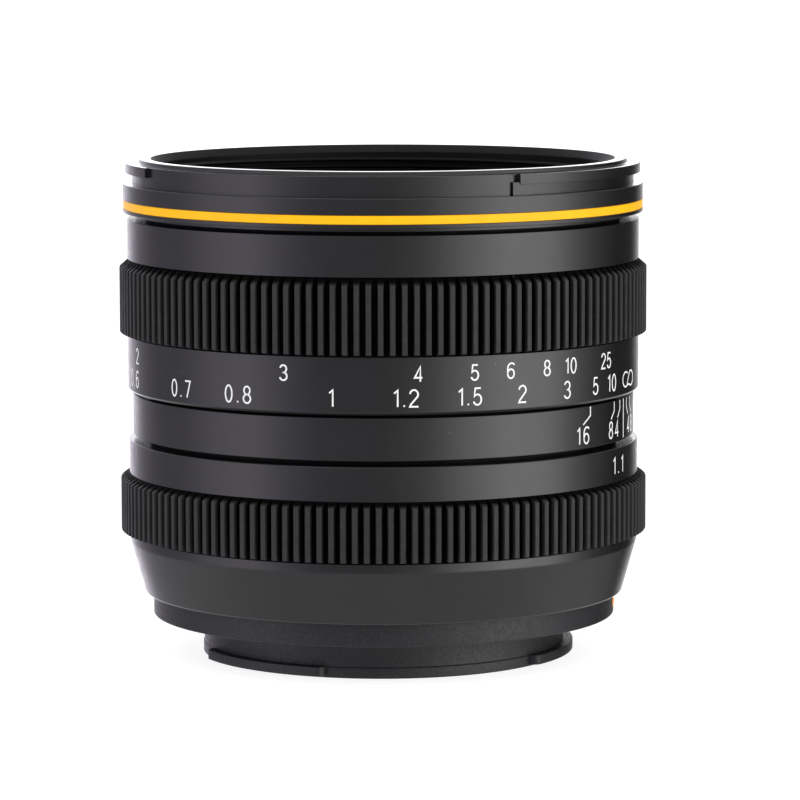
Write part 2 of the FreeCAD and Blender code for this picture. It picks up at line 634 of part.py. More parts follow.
def focus_ring_shell():
    """The focus ring: bearing at the rear, helicoid inside, a seat for its grip, and scale bands."""
    body = turned("focus_ring_shell", [
        ("tube_radius + fit", "focus_foot"), ("focus_radius - 0.27", "focus_foot"),
        ("focus_radius", "focus_foot + 0.27"), ("focus_radius", "focus_grip_foot"),
        ("focus_radius - grip_seat_depth", "focus_grip_foot"),
        ("focus_radius - grip_seat_depth", "focus_grip_top"),
        ("focus_radius", "focus_grip_top"), ("focus_radius", "focus_top - 0.15"),
        ("focus_radius - 0.15", "focus_top"), ("focus_lip_radius", "focus_top"),
        ("focus_lip_radius", "focus_lip_foot"), ("helicoid_bore", "focus_lip_foot"),
        ("helicoid_bore", "shoulder_height"), ("tube_radius + fit", "shoulder_height"),
    ])
    half_step = 180 / size("helicoid_starts")
    offset = 360 * (size("inner_thread_foot") - size("focus_thread_foot")) / size("helicoid_lead")
    thread = ridges("helicoid_bore + 0.2", "helicoid_root + 0.1", "focus_thread_foot", "focus_thread_top",
                    half_step + offset)
    combined("Part::Fuse", "focus_ring_shell", body, hidden("focus_thread", thread))


def focus_stop_block():
    """The block inside the focus ring that runs in the retainer's track and ends its turn."""
    block = sector_solid("retainer_track + 0.06", "helicoid_bore - 0.05", "stop_azimuth", "stop_block_sweep",
                         "retainer_foot + 0.05", "tube_top - 0.1")
    solid_piece("focus_stop_block", block)


def grip(label, seat_radius, foot, top, top_bevel, first_azimuth):
    """A rubber grip: a bevelled band crossed by straight ribs."""
    floor_radius = "grip_radius - rib_height"
    body = turned(label, [
        (f"{seat_radius} + fit", f"{foot} + 0.05"), (f"{floor_radius} + 0.05", f"{foot} + 0.05"),
        ("grip_radius", f"{foot} + grip_foot_bevel"), ("grip_radius", f"{top} - {top_bevel}"),
        (f"{floor_radius} + 0.05", f"{top} - 0.05"), (f"{seat_radius} + fit", f"{top} - 0.05"),
    ])
    crest = size("grip_radius")
    floor = size(floor_radius)
    step = 360 / size("rib_count")
    crest_half = math.degrees(size("rib_crest_width") / 2 / crest)
    root_half = math.degrees(size("rib_root_width") / 2 / floor)
    outline = []
    for index in range(int(size("rib_count"))):
        centre = size(first_azimuth) + index * step
        corners = ((floor, -root_half), (crest, -crest_half), (crest, crest_half), (floor, root_half))
        outline += [polar(radius * 1.0001, centre + angle, size(foot)) for radius, angle in corners]
    outline.append(outline[0])
    ribbed = Part.Face(Part.makePolygon(outline)).extrude(Vector(0, 0, size(top) - size(foot)))
    combined("Part::Common", label, body, hidden(label + "_ribs", ribbed))


# ---- the aperture ring -----------------------------------------------------------------------------------


def aperture_ring_shell():
    """The aperture ring, with the seat of its grip, and a pocket and screw holes for the fork."""
    body = turned("aperture_ring_shell", [
        ("tube_radius + fit", "aperture_foot"), ("aperture_radius - grip_seat_depth", "aperture_foot"),
        ("aperture_radius - grip_seat_depth", "aperture_grip_top"),
        ("aperture_radius", "aperture_grip_top"), ("aperture_radius", "aperture_top - 0.15"),
        ("aperture_radius - 0.15", "aperture_top"), ("tube_radius + fit", "aperture_top"),
    ])
    ring_of_sectors(body, "fork_seat", "tube_radius - 0.2", "fork_plate_radius + 0.05",
                    "arm_azimuth - fork_plate_sweep / 2 - 0.2", "fork_plate_sweep + 0.4",
                    "fork_foot", "aperture_top + overshoot", "1", cut=True)
    fork_screw_holes(body, "fork_foot - fork_screw_depth", "fork_foot + overshoot")


def fork_screw_holes(body, foot, top):
    for name, side in (("near", "-"), ("far", "+")):
        ring_of_holes(body, f"{name}_screw", "fork_screw_circle", f"arm_azimuth {side} fork_screw_offset",
                      "fine_screw_shank + fit", foot, top, "1")


def aperture_fork():
    """The fork on the aperture ring, whose two fingers turn the iris ring's arm at any focus."""
    body = new_body("aperture_fork")
    plate = sector_sketch(body, "plate", "fork_plate_inner", "fork_plate_radius",
                          "arm_azimuth - fork_plate_sweep / 2", "fork_plate_sweep", "fork_foot")
    pad(body, plate, "fork_top - fork_foot")
    for name, start in (("far_finger", "arm_azimuth + arm_sweep / 2 + fork_play"),
                        ("near_finger", "arm_azimuth - arm_sweep / 2 - fork_play - fork_finger_sweep")):
        finger = sector_sketch(body, name, "arm_inner - 0.3", "fork_plate_inner + 0.3", start,
                               "fork_finger_sweep", "fork_foot")
        pad(body, finger, "fork_top - fork_foot")
    fork_screw_holes(body, "fork_foot - overshoot", "fork_top + overshoot")


def fork_screws():
    screws = []
    for side in "-+":
        screws.append(screw_solid("fork_screw_circle", f"arm_azimuth {side} fork_screw_offset",
                                  "fine_screw_shank", "fine_screw_head",
                                  "fork_foot - fork_screw_depth + 0.1", "fork_top", "fork_top + 0.4"))
    solid_piece("fork_screws", Part.makeCompound(screws))


# ---- the lens block --------------------------------------------------------------------------------------


def cut_keyways(body, foot, top):
    """Grooves parallel to the axis for the guide keys, with running clearance all round."""
    ring_of_sectors(body, "keyway", "key_depth - 0.05", "slide_radius + 0.5", "key_azimuth - 0.12",
                    "key_sweep + 0.24", foot, top, "key_count", cut=True)


def rear_screw_holes(body, foot, top):
    ring_of_holes(body, "rear_screw", "rear_screw_circle", "mount_screw_azimuth", "fine_screw_shank + fit",
                  foot, top, "screw_count")


def inner_barrel():
    """The barrel that carries all the glass: keyed to slide, threaded outside, with the iris in its rear."""
    body = turned("inner_barrel", [
        ("iris_bore", "slide_foot"), ("slide_radius", "slide_foot"), ("slide_radius", "slide_top"),
        ("helicoid_root", "slide_top"), ("helicoid_root", "inner_barrel_top"),
        ("cell_radius + fit", "inner_barrel_top"), ("cell_radius + fit", "cell_shoulder"),
        ("cell_foot_radius + fit", "cell_shoulder"), ("cell_foot_radius + fit", "iris_plate_top + 0.02"),
        ("iris_bore", "iris_plate_top + 0.02"),
    ])
    cut_keyways(body, "slide_foot - overshoot", "key_top + 0.2")
    rear_screw_holes(body, "slide_foot - overshoot", "slide_foot + 2.2")
    thread = ridges("helicoid_root - 0.2", "helicoid_crest", "inner_thread_foot", "inner_thread_top", 0)
    combined("Part::Fuse", "inner_barrel", body, hidden("inner_thread", thread))


def front_ring():
    """The wide front ring: accent groove, hood bayonet, filter thread bore, screwed on the inner barrel."""
    body = turned("front_ring", [
        ("helicoid_root + fit", "front_foot"), ("front_lip_radius", "front_foot"),
        ("front_lip_radius", "front_base_foot"), ("front_base_radius - 0.1", "front_base_foot"),
        ("front_base_radius", "front_base_foot + 0.1"), ("front_base_radius", "accent_foot"),
        ("front_base_radius - accent_depth", "accent_foot"),
        ("front_base_radius - accent_depth", "accent_top"),
        ("front_base_radius", "accent_top"), ("front_base_radius", "front_base_top - 0.1"),
        ("front_base_radius - 0.1", "front_base_top"), ("hood_neck_radius", "front_base_top"),
        ("hood_neck_radius", "hood_tab_top"), ("rim_radius", "hood_tab_top + 0.1"),
        ("rim_radius - 0.1", "front_top"), ("filter_mouth_radius", "front_top"),
        ("filter_radius", "front_top - filter_mouth_radius + filter_radius"),
        ("filter_radius", "filter_floor"),
        ("cell_radius + fit", "filter_floor"), ("cell_radius + fit", "inner_barrel_top + fit"),
        ("helicoid_root + fit", "inner_barrel_top + fit"),
    ])
    ring_of_sectors(body, "hood_recess", "hood_recess_radius", "hood_tab_radius", "hood_recess_azimuth",
                    "hood_recess_sweep", "front_base_top", "hood_tab_top + overshoot", "2", cut=True)
    ring_of_sectors(body, "hood_tab", "hood_recess_radius - 0.3", "hood_tab_radius", "hood_tab_azimuth",
                    "hood_tab_sweep", "hood_tab_foot", "hood_tab_top", "2")
    ring_of_sectors(body, "hood_stop", "hood_recess_radius - 0.3", "hood_tab_radius - 0.15",
                    "hood_stop_azimuth", "hood_stop_sweep", "front_base_top - 0.05",
                    "hood_tab_foot + 0.25", "2")


def accent_ring():
    """The coloured ring let into the front ring."""
    turned("accent_ring", [
        ("front_base_radius - accent_depth + 0.05", "accent_foot + 0.03"),
        ("front_base_radius", "accent_foot + 0.03"), ("front_base_radius", "accent_top - 0.03"),
        ("front_base_radius - accent_depth + 0.05", "accent_top - 0.03"),
    ])


def front_trim_ring():
    """The plain ring below the filter thread that covers the edge of the front glass, sloped inwards."""
    turned("front_trim_ring", [
        ("cell_radius - 1.9", "cell_top"), ("cell_radius", "cell_top"),
        ("cell_radius", "filter_floor - 0.05"),
        ("cell_radius - 0.5", "filter_floor - 0.05"), ("cell_radius - 1.9", "cell_top + 0.4"),
    ])


def front_cell():
    """The cell of the two front elements, stepped for each and open towards the iris."""
    turned("front_cell", [
        ("second_glass_radius - 2.5", "cell_foot"), ("cell_foot_radius", "cell_foot"),
        ("cell_foot_radius", "cell_shoulder + 0.02"), ("cell_radius", "cell_shoulder + 0.02"),
        ("cell_radius", "cell_top - 0.02"), ("front_glass_radius + fit", "cell_top - 0.02"),
        ("front_glass_radius + fit", "front_glass_rear_edge - 0.05"),
        ("second_glass_radius + fit", "front_glass_rear_edge - 0.05"),
        ("second_glass_radius + fit", "second_glass_seat"),
        ("second_glass_radius - 2.5", "second_glass_seat"),
    ])


def glass_retainers():
    """The threaded rings that hold the glass in the cells, each sloped to sit on its element's rim."""
    turned("front_glass_retainer", [
        ("front_glass_radius - 0.6", "front_glass_edge + 0.45"),
        ("front_glass_radius", "front_glass_edge + 0.06"),
        ("front_glass_radius", "cell_top - 0.05"), ("front_glass_radius - 0.4", "cell_top - 0.05"),
    ])
    turned("second_glass_retainer", [
        ("second_glass_radius", "second_glass_edge + 0.06"),
        ("second_glass_radius", "second_glass_edge + 2"),
        ("second_glass_radius - 2.3", "second_glass_edge + 2"),
        ("second_glass_radius - 2.3", "second_glass_edge + 1.78"),
    ])
    spanner_ring = turned("third_glass_retainer", [
        ("third_glass_radius - 2", "third_glass_front + 0.02"),
        ("third_glass_radius", "third_glass_front + 0.02"),
        ("third_glass_radius", "third_glass_front + 1"), ("third_glass_radius - 2", "third_glass_front + 1"),
    ])
    ring_of_sectors(spanner_ring, "spanner_slot", "third_glass_radius - 2.5", "third_glass_radius + 0.5",
                    "-spanner_slot_sweep / 2", "spanner_slot_sweep", "third_glass_front + 0.6",
                    "third_glass_front + 1 + overshoot", "2", cut=True)
    turned("rear_glass_retainer", [
        ("rear_glass_radius - 1.6", "snout_foot + 0.1"), ("rear_glass_radius", "snout_foot + 0.1"),
        ("rear_glass_radius", "rear_glass_edge - 0.04"),
        ("rear_glass_radius - 0.9", "rear_glass_edge - 0.36"),
    ])


def spherical_glass(label):
    """A lens element: a disc trimmed by a front and a rear sphere, each convex or concave."""
    disc = doc.addObject("Part::Cylinder", label + "_disc")
    disc.setExpression("Radius", bound(f"{label}_radius"))
    disc.setExpression("Height", bound(f"{label}_front - {label}_rear"))
    disc.setExpression("Placement.Base.z", bound(f"{label}_rear"))
    shape = disc
    for side, sign in (("front", -1), ("rear", 1)):
        curve = size(f"{label}_{side}_curve")
        if curve == 0:
            continue
        sphere = doc.addObject("Part::Sphere", f"{label}_{side}_sphere")
        sphere.setExpression("Radius", bound(f"abs({label}_{side}_curve)"))
        centre = f"{label}_{side}_vertex + {sign} * {label}_{side}_curve"
        sphere.setExpression("Placement.Base.z", bound(centre))
        kind = "Part::Common" if curve > 0 else "Part::Cut"
        trimmed = doc.addObject(kind, f"{label}_{side}_cut")
        trimmed.Base = shape
        trimmed.Tool = sphere
        doc.recompute()
        shape = trimmed
    shape.Label = label
    pieces[label] = shape


def rear_cell():
    """The cell of the rear elements, whose flange closes the iris housing and passes the drive arm."""
    body = turned("rear_cell", [
        ("rear_glass_radius + fit", "snout_foot"), ("snout_radius", "snout_foot"),
        ("snout_radius", "rear_cell_foot"), ("rear_cell_radius", "rear_cell_foot"),
        ("rear_cell_radius", "rear_flange_foot"), ("rear_flange_radius", "rear_flange_foot"),
        ("rear_flange_radius", "slide_foot - 0.02"), ("third_glass_radius + fit", "slide_foot - 0.02"),
        ("third_glass_radius + fit", "fourth_glass_seat"), ("rear_glass_radius - 1", "fourth_glass_seat"),
        ("rear_glass_radius - 1", "rear_glass_seat"), ("rear_glass_radius + fit", "rear_glass_seat"),
    ])
    cut_keyways(body, "rear_flange_foot - overshoot", "slide_foot + overshoot")
    rear_screw_holes(body, "rear_flange_foot - overshoot", "slide_foot + overshoot")
    ring_of_sectors(body, "arm_window", "arm_inner - 0.1", "arm_outer + 0.1",
                    "arm_azimuth - iris_turn - arm_sweep / 2 - 0.6", "iris_turn + arm_sweep + 1.2",
                    "rear_flange_foot - overshoot", "slide_foot + overshoot", "1", cut=True)


def rear_cell_screws():
    screw = screw_solid("rear_screw_circle", "mount_screw_azimuth", "fine_screw_shank", "fine_screw_head",
                        "slide_foot + 2", "rear_flange_foot - 0.01", "rear_flange_foot - 0.41")
    solid_piece("rear_cell_screws", round_the_axis(screw, int(size("screw_count"))))


# ---- the iris --------------------------------------------------------------------------------------------


def iris_plate():
    """The fixed plate the blades hang from, with a hole for each pivot pin."""
    body = turned("iris_plate", [
        ("iris_radius", "iris_plate_foot"), ("iris_bore - 0.05", "iris_plate_foot"),
        ("iris_bore - 0.05", "iris_plate_top"), ("iris_radius", "iris_plate_top"),
    ])
    ring_of_holes(body, "pivot_hole", "pivot_circle", "0", "pivot_radius + fit",
                  "iris_plate_foot - overshoot", "iris_plate_top + overshoot", "blade_count")


def drive_pin(fraction):
    """The drive pin of the first blade, with the iris closed by this fraction of its range."""
    angle = math.radians(size("drive_azimuth") - size("blade_swing") * fraction)
    arm = size("drive_arm")
    return Vector(size("pivot_circle") + arm * math.cos(angle), arm * math.sin(angle), 0)


def slot_solid():
    """The slot one drive pin needs in the iris ring, which turns further than the blades do."""
    half_width = size("pivot_radius + fit")
    samples = 12
    track = []
    for step in range(samples + 1):
        fraction = -0.01 + 1.02 * step / samples
        turn = Rotation(UP, size("iris_turn") * fraction)
        track.append(turn.multVec(drive_pin(fraction)))
    left = []
    right = []
    for index, point in enumerate(track):
        ahead = track[min(index + 1, samples)] - track[max(index - 1, 0)]
        side = UP.cross(ahead).normalize() * half_width
        left.append(point + side)
        right.append(point - side)
    right.reverse()
    edges = []
    for points in (left, right):
        curve = Part.BSplineCurve()
        curve.interpolate(points)
        edges.append(curve.toShape())
    along_end = (track[-1] - track[-2]).normalize() * half_width
    along_start = (track[0] - track[1]).normalize() * half_width
    far_cap = Part.Arc(left[-1], track[-1] + along_end, right[0]).toShape()
    near_cap = Part.Arc(right[-1], track[0] + along_start, left[0]).toShape()
    wire = Part.Wire([edges[0], far_cap, edges[1], near_cap])
    slot = Part.Face(wire).extrude(Vector(0, 0, 3))
    slot.translate(Vector(0, 0, size("iris_ring_foot") - 1))
    return slot


def iris_ring():
    """The turning ring of the iris, with a slot for every drive pin."""
    body = turned("iris_ring", [
        ("iris_radius + 1.5", "iris_ring_foot"), ("iris_bore - fit", "iris_ring_foot"),
        ("iris_bore - fit", "iris_ring_top"), ("iris_radius + 1.5", "iris_ring_top"),
    ])
    slots = round_the_axis(slot_solid(), int(size("blade_count")))
    combined("Part::Cut", "iris_ring", body, hidden("drive_slots", slots))


def iris_drive_arm():
    """The arm that hangs from the iris ring into the fork."""
    body = new_body("iris_drive_arm")
    sketch = sector_sketch(body, "arm", "arm_inner", "arm_outer", "arm_azimuth - arm_sweep / 2", "arm_sweep",
                           "arm_foot")
    pad(body, sketch, "iris_ring_foot - arm_foot")


def round_pad(body, name, centre_x, centre_y, radius, foot, length):
    """A round pin parallel to the axis."""
    sketch = new_sketch(body, name, "XY_Plane", foot)
    sketch.addGeometry(Part.Circle(Vector(size(centre_x), size(centre_y), 0), UP, size(radius)), False)
    drive(sketch, "Radius", 0, expression=radius)
    drive(sketch, "DistanceX", -1, 1, 0, 3, expression=centre_x)
    drive(sketch, "DistanceY", -1, 1, 0, 3, expression=centre_y)
    pad(body, sketch, length)


def iris_blade(number):
    """One curved blade with a pivot pin above it and a drive pin below, in its own layer of the stack."""
    label = f"iris_blade_{number + 1:02d}"
    body = new_body(label)
    middle = "(blade_inner + blade_outer) / 2"
    half = "(blade_outer - blade_inner) / 2"
    sheet_band = sector_sketch(body, "band", "blade_inner", "blade_outer", "blade_start - blade_sweep",
                               "blade_sweep", "0")
    pad(body, sheet_band, "blade_thickness")
    for name, azimuth in (("front_cap", "blade_start"), ("rear_cap", "blade_start - blade_sweep")):
        round_pad(body, name, f"{middle} * cos({azimuth})", f"{middle} * sin({azimuth})", half, "0",
                  "blade_thickness")
    pin = drive_pin(0)
    pin_azimuth = math.degrees(math.atan2(pin.y, pin.x))
    ears = (("pivot_ear", 0, "ear_outer"), ("drive_ear", pin_azimuth, "drive_ear_outer"))
    for name, azimuth, outer in ears:
        start = f"{azimuth:.4f} - ear_sweep / 2"
        pad(body, sector_sketch(body, name, "ear_inner", outer, start, "ear_sweep", "0"), "blade_thickness")
    layer = f"(blade_foot + {number} * blade_pitch)"
    round_pad(body, "pivot_pin", "pivot_circle", "0", "pivot_radius", "0", f"iris_plate_top - 0.1 - {layer}")
    round_pad(body, "drive_pin", "pivot_circle + drive_arm * cos(drive_azimuth)",
              "drive_arm * sin(drive_azimuth)", "pivot_radius", f"iris_ring_foot + 0.05 - {layer}",
              f"{layer} - iris_ring_foot - 0.05")
    body.Placement = Placement(ORIGIN, Rotation(UP, 360 * number / size("blade_count")))
    body.setExpression("Placement.Base.z", bound(layer))
    doc.recompute()


# ---- everything together ---------------------------------------------------------------------------------


def build_all():
    mount_ring()
    mount_index_dot()
    mount_lining()
    rear_barrel()
    main_tube()
    guide_keys()
    barrel_screws()
    index_ring()
    focus_retainer()
    focus_ring_shell()
    focus_stop_block()
    grip("focus_grip", "(focus_radius - grip_seat_depth)", "focus_grip_foot", "focus_grip_top",
         "focus_top_bevel", "focus_rib_azimuth")
    aperture_ring_shell()
    grip("aperture_grip", "(aperture_radius - grip_seat_depth)", "aperture_foot", "aperture_grip_top",
         "aperture_top_bevel", "aperture_rib_azimuth")
    aperture_fork()
    fork_screws()
    inner_barrel()
    front_ring()
    accent_ring()
    front_trim_ring()
    front_cell()
    for label in ("front_glass", "second_glass", "third_glass", "fourth_glass", "rear_glass"):
        spherical_glass(label)
    glass_retainers()
    rear_cell()
    rear_cell_screws()
    iris_plate()
    iris_ring()
    iris_drive_arm()
    for number in range(int(size("blade_count"))):
        iris_blade(number)


def check_and_export():
    """Refuses broken features, then writes each piece to its own STEP file."""
    doc.recompute()
    for item in doc.Objects:
        if "Invalid" in item.State or "Error" in item.State:
            raise RuntimeError(f"{item.Label} is in state {item.State}")
    os.makedirs("parts", exist_ok=True)
    for label, piece in pieces.items():
        shape = piece.Shape
        if shape.isNull() or not shape.isValid() or not shape.Solids:
            raise RuntimeError(f"{label} is not a valid solid")
        shape.exportStep(f"parts/{label}.step")
        print(f"{label}: {len(shape.Solids)} solid(s), {shape.Volume:.1f} mm3")


fill_sheet()
build_all()
check_and_export()
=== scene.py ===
"""Looks of a fast 50 mm prime lens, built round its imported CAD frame.

Sizes are millimetres until a mesh is made, heights are above the rear flange and azimuths are degrees from +X
towards +Y, as in the CAD. The outer rings are turned again here with finely rounded edges, the grips, scales
and threads are built in full, and the pieces inside keep their CAD shapes.
"""

import json
import math
import random

import bmesh
import bpy
from mathutils import Matrix, Quaternion, Vector


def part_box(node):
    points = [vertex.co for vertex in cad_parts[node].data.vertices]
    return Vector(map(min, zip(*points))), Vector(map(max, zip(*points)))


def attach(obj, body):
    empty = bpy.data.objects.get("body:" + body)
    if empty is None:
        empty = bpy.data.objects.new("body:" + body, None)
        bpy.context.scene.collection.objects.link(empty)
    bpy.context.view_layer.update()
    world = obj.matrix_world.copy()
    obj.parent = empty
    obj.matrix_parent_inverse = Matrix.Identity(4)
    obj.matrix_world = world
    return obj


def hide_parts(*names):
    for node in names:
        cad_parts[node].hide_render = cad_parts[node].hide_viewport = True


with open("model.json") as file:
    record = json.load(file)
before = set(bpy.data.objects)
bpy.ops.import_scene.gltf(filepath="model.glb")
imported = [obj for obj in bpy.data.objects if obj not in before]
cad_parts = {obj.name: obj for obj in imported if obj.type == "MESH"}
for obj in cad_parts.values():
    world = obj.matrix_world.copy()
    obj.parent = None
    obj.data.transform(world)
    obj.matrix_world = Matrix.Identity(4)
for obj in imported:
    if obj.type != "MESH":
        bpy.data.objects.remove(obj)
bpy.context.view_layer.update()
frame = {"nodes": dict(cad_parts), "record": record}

MM = 0.001
RIBS = 144
SEGMENTS = 4 * RIBS
SEAT_DEPTH = 0.65
TUBE_GAP = 0.05
SMOOTH_ANGLE = math.radians(32)
SCALE_INDEX = -19.5
RIM_HEIGHT = 49.0
DOT_AZIMUTH, DOT_HEIGHT = -7, 1.35
HELICOID_LEAD, HELICOID_STARTS = 12.2, 6


def reach(node):
    """(largest radius, lowest height, highest height) of a CAD node, in millimetres."""
    low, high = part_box(node)
    radius = max(abs(low.x), abs(high.x), abs(low.y), abs(high.y))
    return round(radius / MM, 2), round(low.z / MM, 2), round(high.z / MM, 2)


def polar(radius, azimuth, height):
    """A point in metres from a radius, an azimuth in degrees and a height, both in millimetres."""
    angle = math.radians(azimuth)
    return Vector((radius * math.cos(angle), radius * math.sin(angle), height)) * MM


# ---- materials -------------------------------------------------------------------------------------------


class Shader:
    """A node material under construction, with one Principled surface."""

    def __init__(self, name):
        self.material = bpy.data.materials.new(name)
        self.material.use_nodes = True
        self.tree = self.material.node_tree
        self.surface = self.tree.nodes["Principled BSDF"]
        self.place = self.add("ShaderNodeTexCoord").outputs["Object"]

    def add(self, kind, **settings):
        node = self.tree.nodes.new(kind)
        for key, value in settings.items():
            setattr(node, key, value)
        return node

    def link(self, source, target):
        self.tree.links.new(source, target)

    def set(self, **values):
        """Sets inputs of the surface: base_color=(r, g, b), roughness=0.4 and so on."""
        for key, value in values.items():
            name = key.replace("_", " ").title().replace("Ior", "IOR")
            if isinstance(value, tuple):
                value = (*value, 1.0)
            self.surface.inputs[name].default_value = value

    def noise(self, scale, detail=2.0, stretch=(1, 1, 1), roughness=0.5):
        """Noise with scale features per metre, stretched along the axes."""
        mapping = self.add("ShaderNodeMapping")
        mapping.inputs["Scale"].default_value = stretch
        self.link(self.place, mapping.inputs["Vector"])
        texture = self.add("ShaderNodeTexNoise")
        texture.inputs["Scale"].default_value = scale
        texture.inputs["Detail"].default_value = detail
        texture.inputs["Roughness"].default_value = roughness
        self.link(mapping.outputs["Vector"], texture.inputs["Vector"])
        return texture.outputs["Fac"]

    def ramp(self, source, low, high, dark, light):
        """Maps a factor between two stops onto values or colours."""
        node = self.add("ShaderNodeValToRGB")
        stops = node.color_ramp.elements
        for stop, position, colour in ((stops[0], low, dark), (stops[1], high, light)):
            stop.position = position
            stop.color = (*colour, 1) if isinstance(colour, tuple) else (colour, colour, colour, 1)
        self.link(source, node.inputs["Fac"])
        return node.outputs["Color"]

    def bump(self, source, strength, distance, below=None):
        node = self.add("ShaderNodeBump")
        node.inputs["Strength"].default_value = strength
        node.inputs["Distance"].default_value = distance * MM
        self.link(source, node.inputs["Height"])
        if below is not None:
            self.link(below, node.inputs["Normal"])
        self.link(node.outputs["Normal"], self.surface.inputs["Normal"])
        return node.outputs["Normal"]

    def specks(self, scale, share):
        """Small scattered dots: 1 inside a dot, 0 elsewhere."""
        cells = self.add("ShaderNodeTexVoronoi")
        cells.inputs["Scale"].default_value = scale
        self.link(self.place, cells.inputs["Vector"])
        close = self.add("ShaderNodeMath", operation="LESS_THAN")
        close.inputs[1].default_value = 0.12
        self.link(cells.outputs["Distance"], close.inputs[0])
        split = self.add("ShaderNodeSeparateColor")
        self.link(cells.outputs["Color"], split.inputs["Color"])
        rare = self.add("ShaderNodeMath", operation="LESS_THAN")
        rare.inputs[1].default_value = share
        self.link(split.outputs["Red"], rare.inputs[0])
        both = self.add("ShaderNodeMath", operation="MULTIPLY")
        self.link(close.outputs[0], both.inputs[0])
        self.link(rare.outputs[0], both.inputs[1])
        return both.outputs[0]

    def mix(self, factor, first, second):
        """Colour between two sources or constant colours."""
        node = self.add("ShaderNodeMix", data_type="RGBA")
        sockets = [item for item in node.inputs if item.type == "RGBA"]
        for socket, source in zip(sockets, (first, second)):
            if isinstance(source, tuple):
                socket.default_value = (*source, 1.0)
            else:
                self.link(source, socket)
        self.link(factor, node.inputs["Factor"])
        return next(item for item in node.outputs if item.type == "RGBA")


def anodised(name, colour, roughness, turning=0.10, gloss=0.5):
    """Satin black anodising: fine grain, faint turning lines, dust, and polished faces on top of the rim."""
    shader = Shader(name)
    shader.set(specular_ior_level=gloss)
    blotches = shader.noise(160, 3.0)
    light = tuple(min(1.0, channel * 1.25) for channel in colour)
    tone = shader.ramp(blotches, 0.3, 0.7, colour, light)
    dusty = shader.mix(shader.specks(1400, 0.006), tone, (0.10, 0.10, 0.11))
    shader.link(dusty, shader.surface.inputs["Base Color"])
    dull = shader.ramp(shader.noise(900, 4.0), 0.3, 0.7, roughness - 0.03, roughness + 0.05)
    facing = shader.add("ShaderNodeSeparateXYZ")
    shader.link(shader.add("ShaderNodeNewGeometry").outputs["True Normal"], facing.inputs[0])
    upwards = shader.ramp(facing.outputs["Z"], 0.85, 0.95, 0.0, 1.0)
    height = shader.add("ShaderNodeSeparateXYZ")
    shader.link(shader.place, height.inputs[0])
    rim = shader.add("ShaderNodeMath", operation="GREATER_THAN")
    rim.inputs[1].default_value = RIM_HEIGHT * MM
    shader.link(height.outputs["Z"], rim.inputs[0])
    polished = shader.add("ShaderNodeMath", operation="MULTIPLY")
    shader.link(upwards, polished.inputs[0])
    shader.link(rim.outputs["Value"], polished.inputs[1])
    finish = shader.mix(polished.outputs["Value"], dull, (0.06, 0.06, 0.06))
    shader.link(finish, shader.surface.inputs["Roughness"])
    lines = shader.bump(shader.noise(60, 2.0, stretch=(1, 1, 90)), turning, 0.01)
    shader.bump(shader.noise(9000, 2.0), 0.10, 0.01, below=lines)
    return shader.material


def blasted(name, colour):
    """Coarser sandblasted metal with painted glints: random grains get a much lighter colour, as if each
    caught the light.
    """
    shader = Shader(name)
    shader.set(specular_ior_level=0.30)
    grains = shader.noise(5200, 3.0, roughness=0.7)
    # Painted glints: the lightest grains are coloured up to 2.6 times brighter, in place of the light they
    # would catch.
    light = tuple(min(1.0, channel * 2.6) for channel in colour)
    shader.link(shader.ramp(grains, 0.45, 0.72, colour, light), shader.surface.inputs["Base Color"])
    dull = shader.ramp(shader.noise(2500, 2.0), 0.3, 0.7, 0.34, 0.52)
    shader.link(dull, shader.surface.inputs["Roughness"])
    shader.bump(grains, 0.5, 0.06)
    return shader.material


def rubber(name):
    """Moulded rubber: grey and worn on the crests, with painted shade that makes it almost black in the
    grooves, and a little lint.
    """
    shader = Shader(name)
    flat = shader.add("ShaderNodeVectorMath", operation="MULTIPLY")
    flat.inputs[1].default_value = (1, 1, 0)
    shader.link(shader.place, flat.inputs[0])
    spread = shader.add("ShaderNodeVectorMath", operation="LENGTH")
    shader.link(flat.outputs["Vector"], spread.inputs[0])
    depth = shader.add("ShaderNodeMapRange")
    for label, value in (("From Min", 29.45 * MM), ("From Max", 29.97 * MM)):
        depth.inputs[label].default_value = value
    shader.link(spread.outputs["Value"], depth.inputs["Value"])
    crest = shader.ramp(shader.noise(1400, 4.0), 0.3, 0.75, (0.015, 0.015, 0.016), (0.024, 0.0238, 0.025))
    # Painted shade: from crest to groove floor the colour falls to almost black where the grooves are shaded;
    # the crest tone itself is wear.
    crest_wear_and_groove_shade = shader.mix(depth.outputs["Result"], (0.0015, 0.0015, 0.0016), crest)
    # The gloss also fades towards the groove floor, as painted shade.
    shader.link(shader.ramp(depth.outputs["Result"], 0.0, 1.0, 0.02, 0.3),
                shader.surface.inputs["Specular IOR Level"])
    lint = shader.mix(shader.specks(2200, 0.006), crest_wear_and_groove_shade, (0.12, 0.12, 0.125))
    shader.link(lint, shader.surface.inputs["Base Color"])
    shader.link(shader.ramp(shader.noise(700, 3.0), 0.3, 0.7, 0.5, 0.66), shader.surface.inputs["Roughness"])
    waves = shader.bump(shader.noise(450, 2.0, stretch=(1, 1, 0.5)), 0.2, 0.06)
    shader.bump(shader.noise(6000, 3.0), 0.3, 0.02, below=waves)
    return shader.material


def paint(name, colour, roughness=0.4, painted_glow=0.0):
    """Paint with a faint orange peel and slightly uneven colour, and optional emission of its own colour that
    paints light into it.
    """
    shader = Shader(name)
    dark = tuple(channel * 0.93 for channel in colour)
    tone = shader.ramp(shader.noise(500, 3.0), 0.35, 0.65, dark, colour)
    shader.link(tone, shader.surface.inputs["Base Color"])
    shader.set(roughness=roughness, specular_ior_level=0.25)
    # Painted light: emission makes the paint brighter than the lamps alone would light it.
    if painted_glow:
        shader.link(tone, shader.surface.inputs["Emission Color"])
        shader.set(emission_strength=painted_glow)
    shader.bump(shader.noise(3500, 2.0), 0.12, 0.02)
    return shader.material


